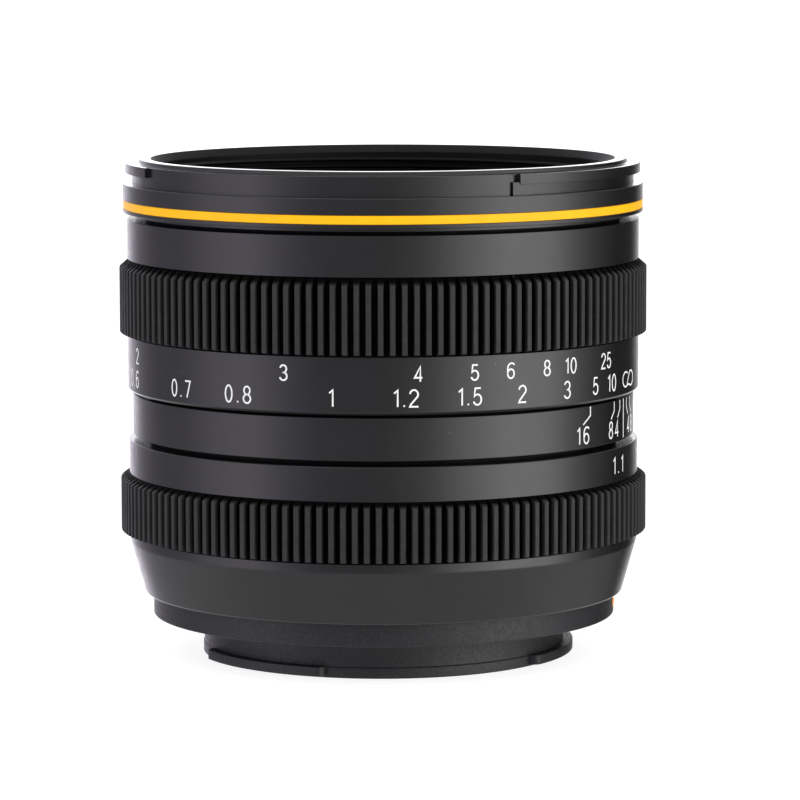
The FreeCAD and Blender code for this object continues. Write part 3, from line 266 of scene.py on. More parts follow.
def machined(name, colour, roughness, metallic=1.0):
    """Bare or blackened metal with turning marks and a little tarnish."""
    shader = Shader(name)
    shader.set(metallic=metallic)
    dark = tuple(channel * 0.7 for channel in colour)
    tone = shader.ramp(shader.noise(220, 4.0), 0.3, 0.7, dark, colour)
    shader.link(tone, shader.surface.inputs["Base Color"])
    dull = shader.ramp(shader.noise(1200, 3.0), 0.3, 0.7, roughness - 0.08, roughness + 0.1)
    shader.link(dull, shader.surface.inputs["Roughness"])
    shader.bump(shader.noise(80, 2.0, stretch=(1, 1, 60)), 0.2, 0.02)
    return shader.material


def coated_glass(name, film_thickness):
    """Clear optical glass whose thin coating tints what it reflects, with faint hazy patches."""
    shader = Shader(name)
    shader.set(base_color=(0.96, 0.98, 1.0), roughness=0.0, transmission_weight=1.0, ior=1.6)
    shader.surface.inputs["Thin Film Thickness"].default_value = film_thickness
    shader.surface.inputs["Thin Film IOR"].default_value = 1.38
    shader.link(shader.ramp(shader.noise(300, 3.0), 0.55, 0.8, 0.0, 0.02), shader.surface.inputs["Roughness"])
    return shader.material


LOOKS = {
    "black_anodised": anodised("satin_black_anodising", (0.0065, 0.006, 0.0068), 0.22),
    "inner_black": anodised("matt_black_anodising", (0.0025, 0.0025, 0.0027), 0.5, turning=0.3, gloss=0.12),
    "flange_metal": blasted("blasted_black_anodising", (0.010, 0.0097, 0.011)),
    "rubber": rubber("ribbed_rubber"),
    # The paints below glow a little: this is painted light, not lamps.
    "accent_paint": paint("yellow_paint", (0.90, 0.44, 0.0), painted_glow=0.14),
    "index_paint": paint("orange_enamel", (0.80, 0.24, 0.01), painted_glow=0.1),
    "marking_paint": paint("white_filled_engraving", (0.82, 0.82, 0.80), roughness=0.5, painted_glow=0.05),
    "brass": machined("turned_brass", (0.62, 0.45, 0.2), 0.3),
    "screw_steel": machined("blackened_steel", (0.09, 0.09, 0.095), 0.32),
    "blade_steel": machined("blued_spring_steel", (0.035, 0.036, 0.04), 0.42, metallic=0.8),
    "coated_glass": coated_glass("coated_glass", 420),
}


# ---- mesh helpers ----------------------------------------------------------------------------------------


def settle(piece, body, slot_name, replaced=(), look=None):
    """Gives a finished piece the material named by its slot or look, parents it to its CAD body and hides the
    CAD nodes it stands for.
    """
    piece.data.materials.clear()
    piece.data.materials.append(LOOKS[look or slot_name])
    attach(piece, body)
    if replaced:
        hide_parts(*replaced)
    return piece


def object_from(name, vertices, faces):
    """A closed mesh object from millimetre coordinates, with outward normals and smooth shading."""
    mesh = bpy.data.meshes.new(name)
    mesh.from_pydata([Vector(vertex) * MM for vertex in vertices], [], faces)
    work = bmesh.new()
    work.from_mesh(mesh)
    bmesh.ops.remove_doubles(work, verts=work.verts, dist=1e-7)
    bmesh.ops.recalc_face_normals(work, faces=work.faces)
    work.to_mesh(mesh)
    work.free()
    piece = bpy.data.objects.new(name, mesh)
    bpy.context.scene.collection.objects.link(piece)
    shade(piece)
    return piece


def shade(piece):
    """Smooth shading that keeps corners crisp and broad faces flat."""
    piece.data.shade_smooth()
    piece.data.set_sharp_from_angle(angle=SMOOTH_ANGLE)
    weighted = piece.modifiers.new("weighted", "WEIGHTED_NORMAL")
    weighted.keep_sharp = True


def rounded(profile):
    """Rounds each (radius, height, rounding) corner of a closed profile with a short curve."""
    points = [Vector((corner[0], corner[1])) for corner in profile]
    roundings = [corner[2] if len(corner) > 2 else 0.04 for corner in profile]
    outline = []
    for index, corner in enumerate(points):
        before = points[index - 1] - corner
        after = points[(index + 1) % len(points)] - corner
        cut = min(roundings[index], before.length * 0.45, after.length * 0.45)
        if cut <= 0:
            outline.append(corner)
            continue
        start = corner + before.normalized() * cut
        end = corner + after.normalized() * cut
        for step in range(4):
            share = step / 3
            outline.append(start.lerp(corner, share).lerp(corner.lerp(end, share), share))
    return outline


def lathe(name, profile, segments=SEGMENTS):
    """A ring turned round the axis from a closed profile of (radius, height, rounding) corners."""
    outline = rounded(profile)
    count = len(outline)
    vertices = []
    for index in range(segments):
        angle = 2 * math.pi * index / segments
        vertices += [(p.x * math.cos(angle), p.x * math.sin(angle), p.y) for p in outline]
    faces = []
    for index in range(segments):
        ahead = (index + 1) % segments
        for corner in range(count):
            following = (corner + 1) % count
            faces.append((index * count + corner, ahead * count + corner,
                          ahead * count + following, index * count + following))
    return object_from(name, vertices, faces)


def sector(name, inner, outer, foot, top, start, sweep, rounding=0.08, ease=0.0):
    """A block that is part of a ring; its outer wall curves in over the last degrees given by ease."""
    steps = max(4, int(sweep / 0.5))
    vertices = []
    for index in range(steps + 1):
        turned = sweep * index / steps
        left = max(0.0, min(turned, sweep - turned))
        bend = 1.0
        if left < ease:
            bend = math.sqrt(1 - (1 - left / ease) ** 2)
        wall = inner + 0.1 + (outer - inner - 0.1) * bend
        outline = rounded([(inner, foot, 0), (wall, foot, rounding), (wall, top, rounding), (inner, top, 0)])
        vertices += [tuple(polar(p.x, start + turned, p.y) / MM) for p in outline]
    count = len(outline)
    faces = [tuple(range(count)), tuple(steps * count + corner for corner in range(count))]
    for index in range(steps):
        for corner in range(count):
            following = (corner + 1) % count
            faces.append((index * count + corner, (index + 1) * count + corner,
                          (index + 1) * count + following, index * count + following))
    return object_from(name, vertices, faces)


def peg(radius, length, centre, direction):
    """A temporary cylinder for cutting holes."""
    work = bmesh.new()
    bmesh.ops.create_cone(work, cap_ends=True, segments=40, radius1=radius * MM, radius2=radius * MM,
                          depth=length * MM)
    turn = Vector(direction).to_track_quat("Z", "Y").to_matrix().to_4x4()
    bmesh.ops.transform(work, matrix=Matrix.Translation(centre) @ turn, verts=work.verts)
    mesh = bpy.data.meshes.new("cutter")
    work.to_mesh(mesh)
    work.free()
    cutter = bpy.data.objects.new("cutter", mesh)
    bpy.context.scene.collection.objects.link(cutter)
    return cutter


def cut_away(piece, cutters):
    """Cuts other objects out of a piece, and then removes them."""
    for cutter in cutters:
        change = piece.modifiers.new("change", "BOOLEAN")
        change.object = cutter
        change.operation = "DIFFERENCE"
        change.solver = "EXACT"
    bpy.context.view_layer.update()
    seen = piece.evaluated_get(bpy.context.evaluated_depsgraph_get())
    mesh = bpy.data.meshes.new_from_object(seen)
    piece.modifiers.clear()
    piece.data = mesh
    for cutter in cutters:
        bpy.data.objects.remove(cutter)
    shade(piece)


def join(piece, others):
    """Adds other pieces' meshes to a piece, as loose parts of it."""
    work = bmesh.new()
    work.from_mesh(piece.data)
    for other in others:
        work.from_mesh(other.data)
        bpy.data.objects.remove(other)
    work.to_mesh(piece.data)
    work.free()
    piece.modifiers.clear()
    shade(piece)


# ---- fixed barrel ----------------------------------------------------------------------------------------


def build_flange():
    """The bayonet flange: blasted rim, stepped spigot, three lugs, screw holes, lock pin hole, dot hole."""
    radius, foot, top = reach("mount_ring")
    bore, neck, collar, band, lug = 18.4, 20.6, 20.9, 20.7, 21.7
    piece = lathe("mount_flange", [
        (bore, foot, 0.1), (band, foot, 0.12), (band, -3.35, 0.02), (neck, -3.2, 0.02),
        (neck, -1.15, 0.02), (collar, -1.15, 0.03), (collar, 0, 0.03),
        (radius, 0, 0.14), (radius, top, 0.06), (bore, top, 0.05),
    ])
    hole_circle, first_screw, lock_azimuth = 23.6, 20, 245
    head_radius, shank_radius, lock_radius, dot_radius = 1.55, 0.85, 1.3, 0.8
    along_axis = (0, 0, 1)
    holes = []
    for index in range(4):
        azimuth = first_screw + 90 * index
        holes.append(peg(head_radius, 2.1, polar(hole_circle, azimuth, 0), along_axis))
        holes.append(peg(shank_radius, 6, polar(hole_circle, azimuth, 1), along_axis))
    holes.append(peg(lock_radius, 3, polar(hole_circle, lock_azimuth, 0), along_axis))
    holes.append(peg(dot_radius, 1.2, polar(radius, DOT_AZIMUTH, DOT_HEIGHT), polar(1, DOT_AZIMUTH, 0)))
    cut_away(piece, holes)
    lug_foot, lug_top, first_lug, lug_sweep = -4.3, -3.2, 201.5, 50.8
    lugs = []
    for index in range(3):
        start = first_lug + 120 * index
        lugs.append(sector("lug", neck - 0.5, lug, lug_foot, lug_top, start, lug_sweep, 0.1, 2.5))
    join(piece, lugs)
    return settle(piece, "fixed_barrel", "flange_metal", ["mount_ring"])


def build_index_dot():
    """The enamelled mounting dot, slightly domed."""
    radius = reach("mount_ring")[0]
    work = bmesh.new()
    bmesh.ops.create_uvsphere(work, u_segments=32, v_segments=16, radius=0.75 * MM)
    bmesh.ops.scale(work, vec=(1, 1, 0.35), verts=work.verts)
    turn = polar(1, DOT_AZIMUTH, 0).to_track_quat("Z", "Y").to_matrix().to_4x4()
    shift = Matrix.Translation(polar(radius - 0.16, DOT_AZIMUTH, DOT_HEIGHT))
    bmesh.ops.transform(work, matrix=shift @ turn, verts=work.verts)
    mesh = bpy.data.meshes.new("index_dot")
    work.to_mesh(mesh)
    work.free()
    piece = bpy.data.objects.new("index_dot", mesh)
    bpy.context.scene.collection.objects.link(piece)
    shade(piece)
    return settle(piece, "fixed_barrel", "index_paint", ["mount_index_dot"])


def build_rear_barrel():
    """The rear barrel, whose cone widens from the flange to the aperture ring."""
    radius, foot, top = reach("rear_barrel")
    tube = reach("main_tube")[0] + TUBE_GAP
    bore, step, cone_foot, cone_top = 20.6, 5.2, 27.33, 8.5
    piece = lathe("rear_cone", [
        (bore, foot), (cone_foot - 0.15, foot, 0.03), (cone_foot, foot + 0.15, 0.05),
        (radius, cone_top, 0.15), (radius, top, 0.1), (tube, top, 0.05), (tube, step), (bore, step),
    ])
    return settle(piece, "fixed_barrel", "black_anodised", ["rear_barrel"])


def build_index_ring():
    """The fixed scale ring, with three grub screw holes round the back."""
    radius, foot, top = reach("index_ring")
    tube = reach("main_tube")[0] + TUBE_GAP
    piece = lathe("scale_ring", [
        (tube, foot), (radius, foot, 0.12), (radius, top, 0.12), (tube, top),
    ])
    grub_radius, grub_height = 0.65, 22.4
    holes = []
    for azimuth in (60, 90, 120):
        holes.append(peg(grub_radius, 5, polar(radius, azimuth, grub_height), polar(1, azimuth, 0)))
    cut_away(piece, holes)
    return settle(piece, "fixed_barrel", "black_anodised", ["index_ring"])


# ---- rings that turn -------------------------------------------------------------------------------------


def build_grip(name, node, body, crest_azimuth, lower_bevel, upper_bevel, root_half):
    """A rubber grip whose ribs have rounded crests, sloping flanks and bevelled ends."""
    crest, foot, top = reach(node)
    rib_height = 1.15
    floor, base = crest - rib_height, crest - rib_height - 0.3
    step = 360 / RIBS
    # across one rib: (share of the pitch from its centre, height share from groove floor to crest)
    crest_half, edge = 0.205, 0.03
    flank_top, flank_foot = crest_half + 0.02, root_half - 0.02
    shoulder, hollow = 0.9, 0.08
    half_rib = [(0, 1), (crest_half - edge, 1), (crest_half, 0.97), (flank_top, shoulder),
                (flank_foot, hollow), (root_half, 0.0)]
    rib = [(-share, height) for share, height in reversed(half_rib[1:])] + half_rib + [(0.5, 0)]
    rows = [(foot, 0.0), (foot + 0.02, 0.1)]
    rows += [(foot + lower_bevel * share, share) for share in (0.3, 0.7, 0.95)]
    rows += [(foot + lower_bevel * 1.08, 1.0), ((foot + top) / 2, 1.0), (top - upper_bevel * 1.06, 1.0)]
    rows += [(top - upper_bevel * share, share) for share in (0.96, 0.8, 0.6, 0.4, 0.2)]
    rows += [(top - 0.02, 0.1), (top, 0.0)]
    random.seed(7)
    leans = [random.uniform(-0.012, 0.012) for index in range(RIBS)]
    vertices = []
    for row_height, envelope in rows:
        low = max(hollow, shoulder * envelope)
        widening = (flank_foot - flank_top) * (shoulder - low) / (shoulder - hollow)
        for index in range(RIBS):
            for share, height in rib:
                if height > hollow:
                    share += math.copysign(widening, share) if share else 0
                azimuth = crest_azimuth + (index + share + leans[index]) * step
                radius = floor + rib_height * min(height, max(envelope * height, min(envelope, hollow)))
                vertices.append(tuple(polar(radius, azimuth, row_height) / MM))
    width = RIBS * len(rib)
    for row_height in (top, foot):
        vertices += [tuple(polar(base, crest_azimuth + 360 * column / width, row_height) / MM)
                     for column in range(width)]
    total = len(rows) + 2
    faces = []
    for row in range(total):
        above = (row + 1) % total
        for column in range(width):
            beside = (column + 1) % width
            faces.append((row * width + column, row * width + beside,
                          above * width + beside, above * width + column))
    piece = object_from(name, vertices, faces)
    return settle(piece, body, "rubber", [node])


def build_focus_ring():
    """The focus ring's shell, with a slot under its grip and a chamfered rear edge."""
    radius, foot, top = reach("focus_ring_shell")
    grip_foot, grip_top = reach("focus_grip")[1:]
    seat = radius - SEAT_DEPTH
    bore, thread_bore, mouth = 26.65, 27.6, 27.1
    thread_foot, thread_top, chamfer = 30, 44.45, 0.27
    piece = lathe("focus_shell", [
        (bore, foot, 0.05), (radius - chamfer, foot, 0.05), (radius, foot + chamfer, 0.06),
        (radius, grip_foot, 0.05), (seat, grip_foot, 0), (seat, grip_top, 0), (radius, grip_top, 0.05),
        (radius, top, 0.13), (mouth, top, 0.06), (mouth, thread_top), (thread_bore, thread_top),
        (thread_bore, thread_foot), (bore, thread_foot),
    ])
    return settle(piece, "focus_ring", "black_anodised", ["focus_ring_shell"])


def build_aperture_ring():
    """The aperture ring's shell, with the pocket of the fork."""
    radius, foot, top = reach("aperture_ring_shell")
    seat = radius - SEAT_DEPTH
    tube = reach("main_tube")[0] + TUBE_GAP
    grip_top = reach("aperture_grip")[2]
    piece = lathe("aperture_shell", [
        (tube, foot), (seat, foot, 0), (seat, grip_top, 0), (radius, grip_top, 0.05),
        (radius, top, 0.13), (tube, top, 0.06),
    ])
    pocket = sector("pocket", tube - 1, 27.85, 17.5, top + 1, 123.8, 16.4, 0)
    cut_away(piece, [pocket])
    return settle(piece, "aperture_ring", "black_anodised", ["aperture_ring_shell"])


def helical_ridges(name, root, crest, foot, top, lead, starts, first, hand, wide, narrow):
    """Thread ridges as closed strips that wind round the axis."""
    sweep = 360 * (top - foot - wide) / lead
    steps = max(8, int(sweep / 3))
    corners = [(root, -wide / 2), (crest, -narrow / 2), (crest, narrow / 2), (root, wide / 2)]
    vertices = []
    faces = []
    for start in range(starts):
        base = len(vertices)
        for index in range(steps + 1):
            share = index / steps
            azimuth = first + 360 * start / starts + hand * sweep * share
            fade = min(1.0, 12 * share, 12 * (1 - share))
            height = foot + wide / 2 + (top - foot - wide) * share
            for radius, rise in corners:
                radius = root + (radius - root) * fade
                vertices.append(tuple(polar(radius, azimuth, height + rise) / MM))
        for index in range(steps):
            here = base + index * 4
            for corner in range(4):
                following = (corner + 1) % 4
                faces.append((here + corner, here + following, here + 4 + following, here + 4 + corner))
        faces.append((base, base + 1, base + 2, base + 3))
        last = base + steps * 4
        faces.append((last, last + 1, last + 2, last + 3))
    return object_from(name, vertices, faces)


def build_focus_thread():
    """The focus ring's half of the left-handed helicoid."""
    first = 30 + 360 * 0.6 / HELICOID_LEAD
    piece = helical_ridges("focus_helicoid", 27.65, 27.0, 32.4, 44.2, HELICOID_LEAD, HELICOID_STARTS,
                           first, -1, 0.8, 0.5)
    return settle(piece, "focus_ring", "brass")


# ---- front of the lens block -----------------------------------------------------------------------------


def build_front_ring():
    """The front ring: accent groove, hood bayonet with tabs and stops, bright rim, filter thread wall."""
    radius, foot, top = reach("front_ring")
    recess, neck, tab, lip = 28.5, 28.75, 29.23, 28.2
    base_foot, base_top, tab_foot, tab_top = 45.94, 49.2, 50.4, 51.5
    accent_foot, accent_top = reach("accent_ring")[1:]
    accent_foot -= 0.03
    accent_top += 0.03
    bore, mouth = 25.6, 26.4
    piece = lathe("front_housing", [
        (26.95, foot), (lip, foot, 0.08), (lip, base_foot, 0.03), (radius, base_foot, 0.1),
        (radius, accent_foot, 0.05), (radius - 0.5, accent_foot, 0), (radius - 0.5, accent_top, 0),
        (radius, accent_top, 0.05), (radius, base_top, 0.13), (recess, base_top, 0.05),
        (recess, tab_top - 0.04, 0.1), (27.75, tab_top + 0.05, 0.04), (27.65, top, 0.1), (mouth, top, 0.08),
        (bore, 51.1, 0.05), (bore, 48.0, 0), (24.7, 48.0, 0.05), (24.7, 47.25, 0), (26.95, 47.25, 0),
    ])
    neck_start, neck_sweep = 21.0, 97.8
    tab_start, tab_sweep = -59.4, 84.9
    stop_start, stop_sweep = -61.1, 5.7
    parts = []
    for turn in (0, 180):
        parts.append(sector("neck", recess - 0.4, neck, base_top - 0.1, tab_top,
                            neck_start + turn, neck_sweep, 0.05))
        parts.append(sector("tab", recess - 0.5, tab, tab_foot, tab_top + 0.01,
                            tab_start + turn, tab_sweep, 0.05))
        parts.append(sector("stop", recess - 0.6, tab - 0.12, base_top - 0.12, tab_foot + 0.25,
                            stop_start + turn, stop_sweep, 0.05))
    join(piece, parts)
    settle(piece, "optical_block", "black_anodised", ["front_ring"])
    piece.data.materials.append(LOOKS["inner_black"])
    for face in piece.data.polygons:
        inside = Vector((face.center.x, face.center.y)).length < mouth * MM
        if inside and face.center.z < (top - 0.02) * MM:
            face.material_index = 1
    return piece


def build_filter_thread():
    """The ridges of the 52 mm filter thread, 0.75 mm apart."""
    piece = helical_ridges("filter_thread", 25.62, 25.2, 48.3, 51.15, 0.75, 1, 40, 1, 0.62, 0.12)
    return settle(piece, "optical_block", "black_anodised", look="inner_black")


def build_accent_ring():
    """The yellow band, set a hair below the front ring's surface."""
    radius, foot, top = reach("accent_ring")
    inner, outer = radius - 0.45, radius - 0.03
    piece = lathe("accent_band", [(inner, foot, 0), (outer, foot, 0.07), (outer, top, 0.07), (inner, top, 0)])
    return settle(piece, "optical_block", "accent_paint", ["accent_ring"])


def build_trim_ring():
    """The blank ring round the front glass, stepped against stray light."""
    radius, foot, top = reach("front_trim_ring")
    bore, ease = 22.75, 0.04
    piece = lathe("front_trim", [
        (bore, foot, 0), (radius, foot, 0), (radius, top, 0.03), (24.15, top, ease), (24.05, 47.72, ease),
        (23.6, 47.72, ease), (23.5, 47.46, ease), (23.1, 47.46, ease), (23.0, 47.2, ease), (bore, 47.2, ease),
    ])
    return settle(piece, "optical_block", "inner_black", ["front_trim_ring"])


def build_glass(name, node, front_curve, rear_curve, front_vertex, rear_vertex, film):
    """A lens element turned from two circular arcs; a curve above 0 is convex, below 0 concave, 0 flat."""
    radius, foot, top = reach(node)

    def surface(r, vertex, curve, outward):
        if curve == 0:
            return vertex
        sag = abs(curve) - math.sqrt(max(0.0, curve * curve - r * r))
        height = vertex - outward * math.copysign(sag, curve)
        return min(max(height, foot), top)

    steps = 40
    profile = [(radius * index / steps, surface(radius * index / steps, rear_vertex, rear_curve, -1))
               for index in range(steps + 1)]
    profile += [(radius * index / steps, surface(radius * index / steps, front_vertex, front_curve, 1))
                for index in range(steps, -1, -1)]
    segments = 192
    count = len(profile)
    vertices = []
    for index in range(segments):
        angle = 2 * math.pi * index / segments
        vertices += [(r * math.cos(angle), r * math.sin(angle), z) for r, z in profile]
    faces = []
    for index in range(segments):
        ahead = (index + 1) % segments
        for corner in range(count - 1):
            faces.append((index * count + corner, ahead * count + corner,
                          ahead * count + corner + 1, index * count + corner + 1))
    piece = object_from(name, vertices, faces)
    work = bmesh.new()
    work.from_mesh(piece.data)
    bmesh.ops.dissolve_degenerate(work, dist=1e-8, edges=work.edges)
    bmesh.ops.recalc_face_normals(work, faces=work.faces)
    work.to_mesh(piece.data)
    work.free()
    piece.modifiers.clear()
    shade(piece)
    LOOKS[name] = coated_glass(name + "_coating", film)
    return settle(piece, "optical_block", "coated_glass", [node], look=name)


# ---- engraved marks --------------------------------------------------------------------------------------

# Centre lines of the engraved figures in a cell 1 high, each as its width and its strokes. A stroke is a list
# of points and arcs, where an arc is (centre x, centre y, radius x, radius y, first degree, last degree).
GLYPHS = {
    "0": (0.50, [[(0.25, 0.5, 0.25, 0.5, 90, 450)]]),
    "1": (0.26, [[(0.0, 0.80), (0.22, 0.98), (0.22, 0.0)]]),
    "2": (0.50, [[(0.25, 0.73, 0.25, 0.27, 172, -28), (0.06, 0.14), (0.0, 0.0), (0.52, 0.0)]]),
    "3": (0.50, [[(0.24, 0.755, 0.23, 0.245, 165, -85), (0.24, 0.26, 0.26, 0.26, 82, -165)]]),
    "4": (0.50, [[(0.38, 0.0), (0.38, 1.0), (0.0, 0.26), (0.52, 0.26)]]),
    "5": (0.50, [[(0.46, 1.0), (0.10, 1.0), (0.04, 0.52), (0.24, 0.315, 0.26, 0.315, 140, -160)]]),
    "6": (0.50, [[(0.30, 0.66, 0.30, 0.34, 40, 180), (0.0, 0.3), (0.25, 0.30, 0.25, 0.30, 180, 540)]]),
    "7": (0.48, [[(0.0, 1.0), (0.48, 1.0), (0.16, 0.0)]]),
    "8": (0.50, [[(0.25, 0.76, 0.215, 0.24, -90, 270)], [(0.25, 0.26, 0.255, 0.26, 90, 450)]]),
    ".": (0.10, [[(0.05, 0.0), (0.05, 0.10)]]),
    "m": (0.76, [[(0.0, 0.0), (0.0, 0.68)], [(0.19, 0.46, 0.19, 0.2, 180, 0), (0.38, 0.0)],
                 [(0.57, 0.46, 0.19, 0.2, 180, 0), (0.76, 0.0)]]),
    "f": (0.30, [[(0.10, 0.0), (0.10, 0.78), (0.24, 0.80, 0.14, 0.2, 180, 70)], [(0.0, 0.66), (0.28, 0.66)]]),
    "t": (0.28, [[(0.10, 0.92), (0.10, 0.2), (0.22, 0.16, 0.12, 0.16, 180, 290)],
                 [(0.0, 0.66), (0.28, 0.66)]]),
    "infinity": (1.16, [[(0.30, 0.5, 0.28, 0.46, 50, 310), (0.86, 0.5, 0.28, 0.46, 230, 490), (0.45, 0.2)]]),
}


def centre_line(stroke, scale):
    """The points of one stroke, with its arcs sampled."""
    points = []
    for item in stroke:
        if len(item) == 2:
            points.append(Vector(item) * scale)
            continue
        x, y, radius_x, radius_y, first, last = item
        steps = max(6, int(abs(last - first) / 12))
        for step in range(steps + 1):
            angle = math.radians(first + (last - first) * step / steps)
            points.append(Vector((x + radius_x * math.cos(angle), y + radius_y * math.sin(angle))) * scale)
    cleaned = [points[0]]
    for point in points[1:]:
        if (point - cleaned[-1]).length > 0.02 * scale:
            cleaned.append(point)
    return cleaned


class Marks:
    """Paint-filled engraving on one cylinder, gathered into a single mesh."""

    def __init__(self, radius):
        self.radius = radius
        self.vertices = []
        self.faces = []

    def ribbon(self, points, width):
        """A flat ribbon along (along the circumference, height) points, wrapped on the cylinder."""
        closed = (points[0] - points[-1]).length < width * 0.3 and len(points) > 4
        if closed:
            points = points[:-1]
        rails = []
        count = len(points)
        for index, point in enumerate(points):
            before = points[index - 1] if closed or index else None
            after = points[(index + 1) % count] if closed or index < count - 1 else None
            first = (point - before).normalized() if before is not None else (after - point).normalized()
            second = (after - point).normalized() if after is not None else first
            bisector = first + second
            bisector = bisector.normalized() if bisector.length > 1e-6 else first
            side = Vector((-bisector.y, bisector.x))
            stretch = 1 / max(0.5, side.dot(Vector((-first.y, first.x))))
            rails.append((point + side * width / 2 * stretch, point - side * width / 2 * stretch))
        base = len(self.vertices)
        proud, sunk = 0.014, -0.03
        for left, right in rails:
            for edge in (left, right):
                for lift in (proud, sunk):
                    azimuth = math.degrees(edge.x / self.radius)
                    self.vertices.append(tuple(polar(self.radius + lift, azimuth, edge.y) / MM))
        spans = count if closed else count - 1
        for index in range(spans):
            here = base + 4 * index
            ahead = base + 4 * ((index + 1) % count)
            for one, other in ((0, 2), (2, 3), (3, 1), (1, 0)):
                self.faces.append((here + one, here + other, ahead + other, ahead + one))
        if not closed:
            last = base + 4 * (count - 1)
            self.faces.append((base, base + 1, base + 3, base + 2))
            self.faces.append((last, last + 1, last + 3, last + 2))

    def text(self, words, azimuth, foot, height, squeeze=0.88, gap=0.24):
        """A line of figures centred on an azimuth. Azimuth grows to the reader's right."""
        stroke = 0.185
        names = [words] if words in GLYPHS else list(words)
        narrow = height * squeeze
        widths = [GLYPHS[name][0] * narrow for name in names]
        total = sum(widths) + gap * height * (len(names) - 1)
        x = math.radians(azimuth) * self.radius - total / 2
        for name, width in zip(names, widths):
            for line in GLYPHS[name][1]:
                points = centre_line(line, 1.0)
                inset = stroke / 2
                placed = [Vector((x + p.x * narrow, foot + inset + p.y * (height - stroke))) for p in points]
                self.ribbon(placed, stroke)
            x += width + gap * height

    def line(self, points, width):
        """A straight-sided mark through (azimuth, height) points."""
        placed = [Vector((math.radians(azimuth) * self.radius, height)) for azimuth, height in points]
        self.ribbon(placed, width)

    def finish(self, name, body):
        return settle(object_from(name, self.vertices, self.faces), body, "marking_paint")


def distance_azimuth(metres):
    """Where a distance stands on the focus ring at infinity: one hyperbola fits the whole scale."""
    return SCALE_INDEX + 2.3 - (3.0 + 73.4 / (metres - 0.094))


def build_distance_scale():
    """Two rows of distances on the focus ring: feet above, metres below. A nudge is in degrees."""
    marks = Marks(reach("focus_ring_shell")[0])
    metres_per_foot = 0.3048
    feet_row, feet_height = 29.33, 1.82
    metre_row, metre_height = 26.62, 2.0
    feet_nudges = {2: 1.4, 3: -2.1, 4: 2.9, 5: 1.4, 6: 0.9, 8: -0.6, 10: 0.0, 25: -2.0}
    for feet, nudge in feet_nudges.items():
        marks.text(str(feet), distance_azimuth(feet * metres_per_foot) + nudge, feet_row, feet_height)
    metre_nudges = {0.5: 1.5, 0.6: 1.5, 0.7: 1.4, 0.8: 1.2, 1: 0.1, 1.2: 1.4,
                    1.5: 1.2, 2: 0.0, 3: -0.7, 5: -1.2, 10: -1.6}
    for metres, nudge in metre_nudges.items():
        gap = 0.34 if metres < 1 else 0.27
        marks.text(str(metres), distance_azimuth(metres) + nudge, metre_row, metre_height, gap=gap)
    marks.text("infinity", SCALE_INDEX + 0.2, metre_row, metre_height, squeeze=1.75)
    unit_azimuth = -4.5
    marks.text("ft", unit_azimuth, feet_row, feet_height)
    marks.text("m", unit_azimuth, metre_row, metre_height)
    return marks.finish("distance_scale", "focus_ring")


def build_depth_scale():
    """The index line and the depth of field marks on the fixed ring, mirrored about the index."""
    radius, foot, top = reach("index_ring")
    marks = Marks(radius)
    marks.line([(SCALE_INDEX, foot + 0.25), (SCALE_INDEX, top - 0.08)], 0.2)
    # (f-number, degrees from the index to its line, to the line's foot and to the figures)
    for stop, line_offset, foot_offset, text_offset in (("4", 2.6, 4.1, 4.5), ("8", 6.1, 7.8, 7.9),
                                                        ("16", 17.3, 20.0, 20.0)):
        for side in (-1, 1):
            kink = SCALE_INDEX + side * line_offset
            outside = SCALE_INDEX + side * foot_offset
            marks.line([(kink, top - 0.1), (kink, top - 1.1), (outside, top - 2.0)], 0.17)
            marks.text(stop, SCALE_INDEX + side * text_offset, foot + 0.5, 2.0, gap=0.36)
    return marks.finish("depth_scale", "fixed_barrel")


def build_aperture_scale():
    """f-numbers round the aperture ring, spaced as the opening shrinks evenly with the turn."""
    marks = Marks(reach("aperture_ring_shell")[0])
    figure_foot, figure_height, lag = 17.2, 2.0, 5.6
    stops = ("1.1", "1.4", "2", "2.8", "4", "5.6", "8", "16")
    turn = abs(frame["record"]["behaviour"]["joints"][2]["range_deg"][0])
    widest, smallest = float(stops[0]), float(stops[-1])
    for stop in stops:
        share = (1 - widest / float(stop)) / (1 - widest / smallest)
        marks.text(stop, SCALE_INDEX - lag + turn * share, figure_foot, figure_height, gap=0.42)
    return marks.finish("aperture_scale", "aperture_ring")


# ---- what stays as CAD -----------------------------------------------------------------------------------


def dress_cad_nodes():
    """Gives every CAD node that is still shown the look of its material slot, and smooth shading."""
    slots = {entry["node"]: entry["material_slot"] for entry in frame["record"]["subparts"]}
    for name, node in frame["nodes"].items():
        node.data.materials.clear()
        node.data.materials.append(LOOKS[slots[name]])
        node.data.shade_smooth()
        node.data.set_sharp_from_angle(angle=SMOOTH_ANGLE)


# ---- stage -----------------------------------------------------------------------------------------------


def build_floor():
    """A plain pale floor that reads as white, with a little contact shade."""
    bottom = reach("mount_ring")[1]
    mesh = bpy.data.meshes.new("floor")
    side = 3.0  # metres
    corners = [(-side, -side), (side, -side), (side, side), (-side, side)]
    mesh.from_pydata([(x, y, (bottom - 0.02) * MM) for x, y in corners], [], [(0, 1, 2, 3)])
    floor = bpy.data.objects.new("floor", mesh)
    bpy.context.scene.collection.objects.link(floor)
    shader = Shader("pale_floor")
    shader.set(base_color=(0.3, 0.3, 0.3), roughness=0.8)
    shader.set(emission_color=(1.0, 1.0, 1.0), emission_strength=0.86)
    mesh.materials.append(shader.material)
    floor.visible_glossy = False


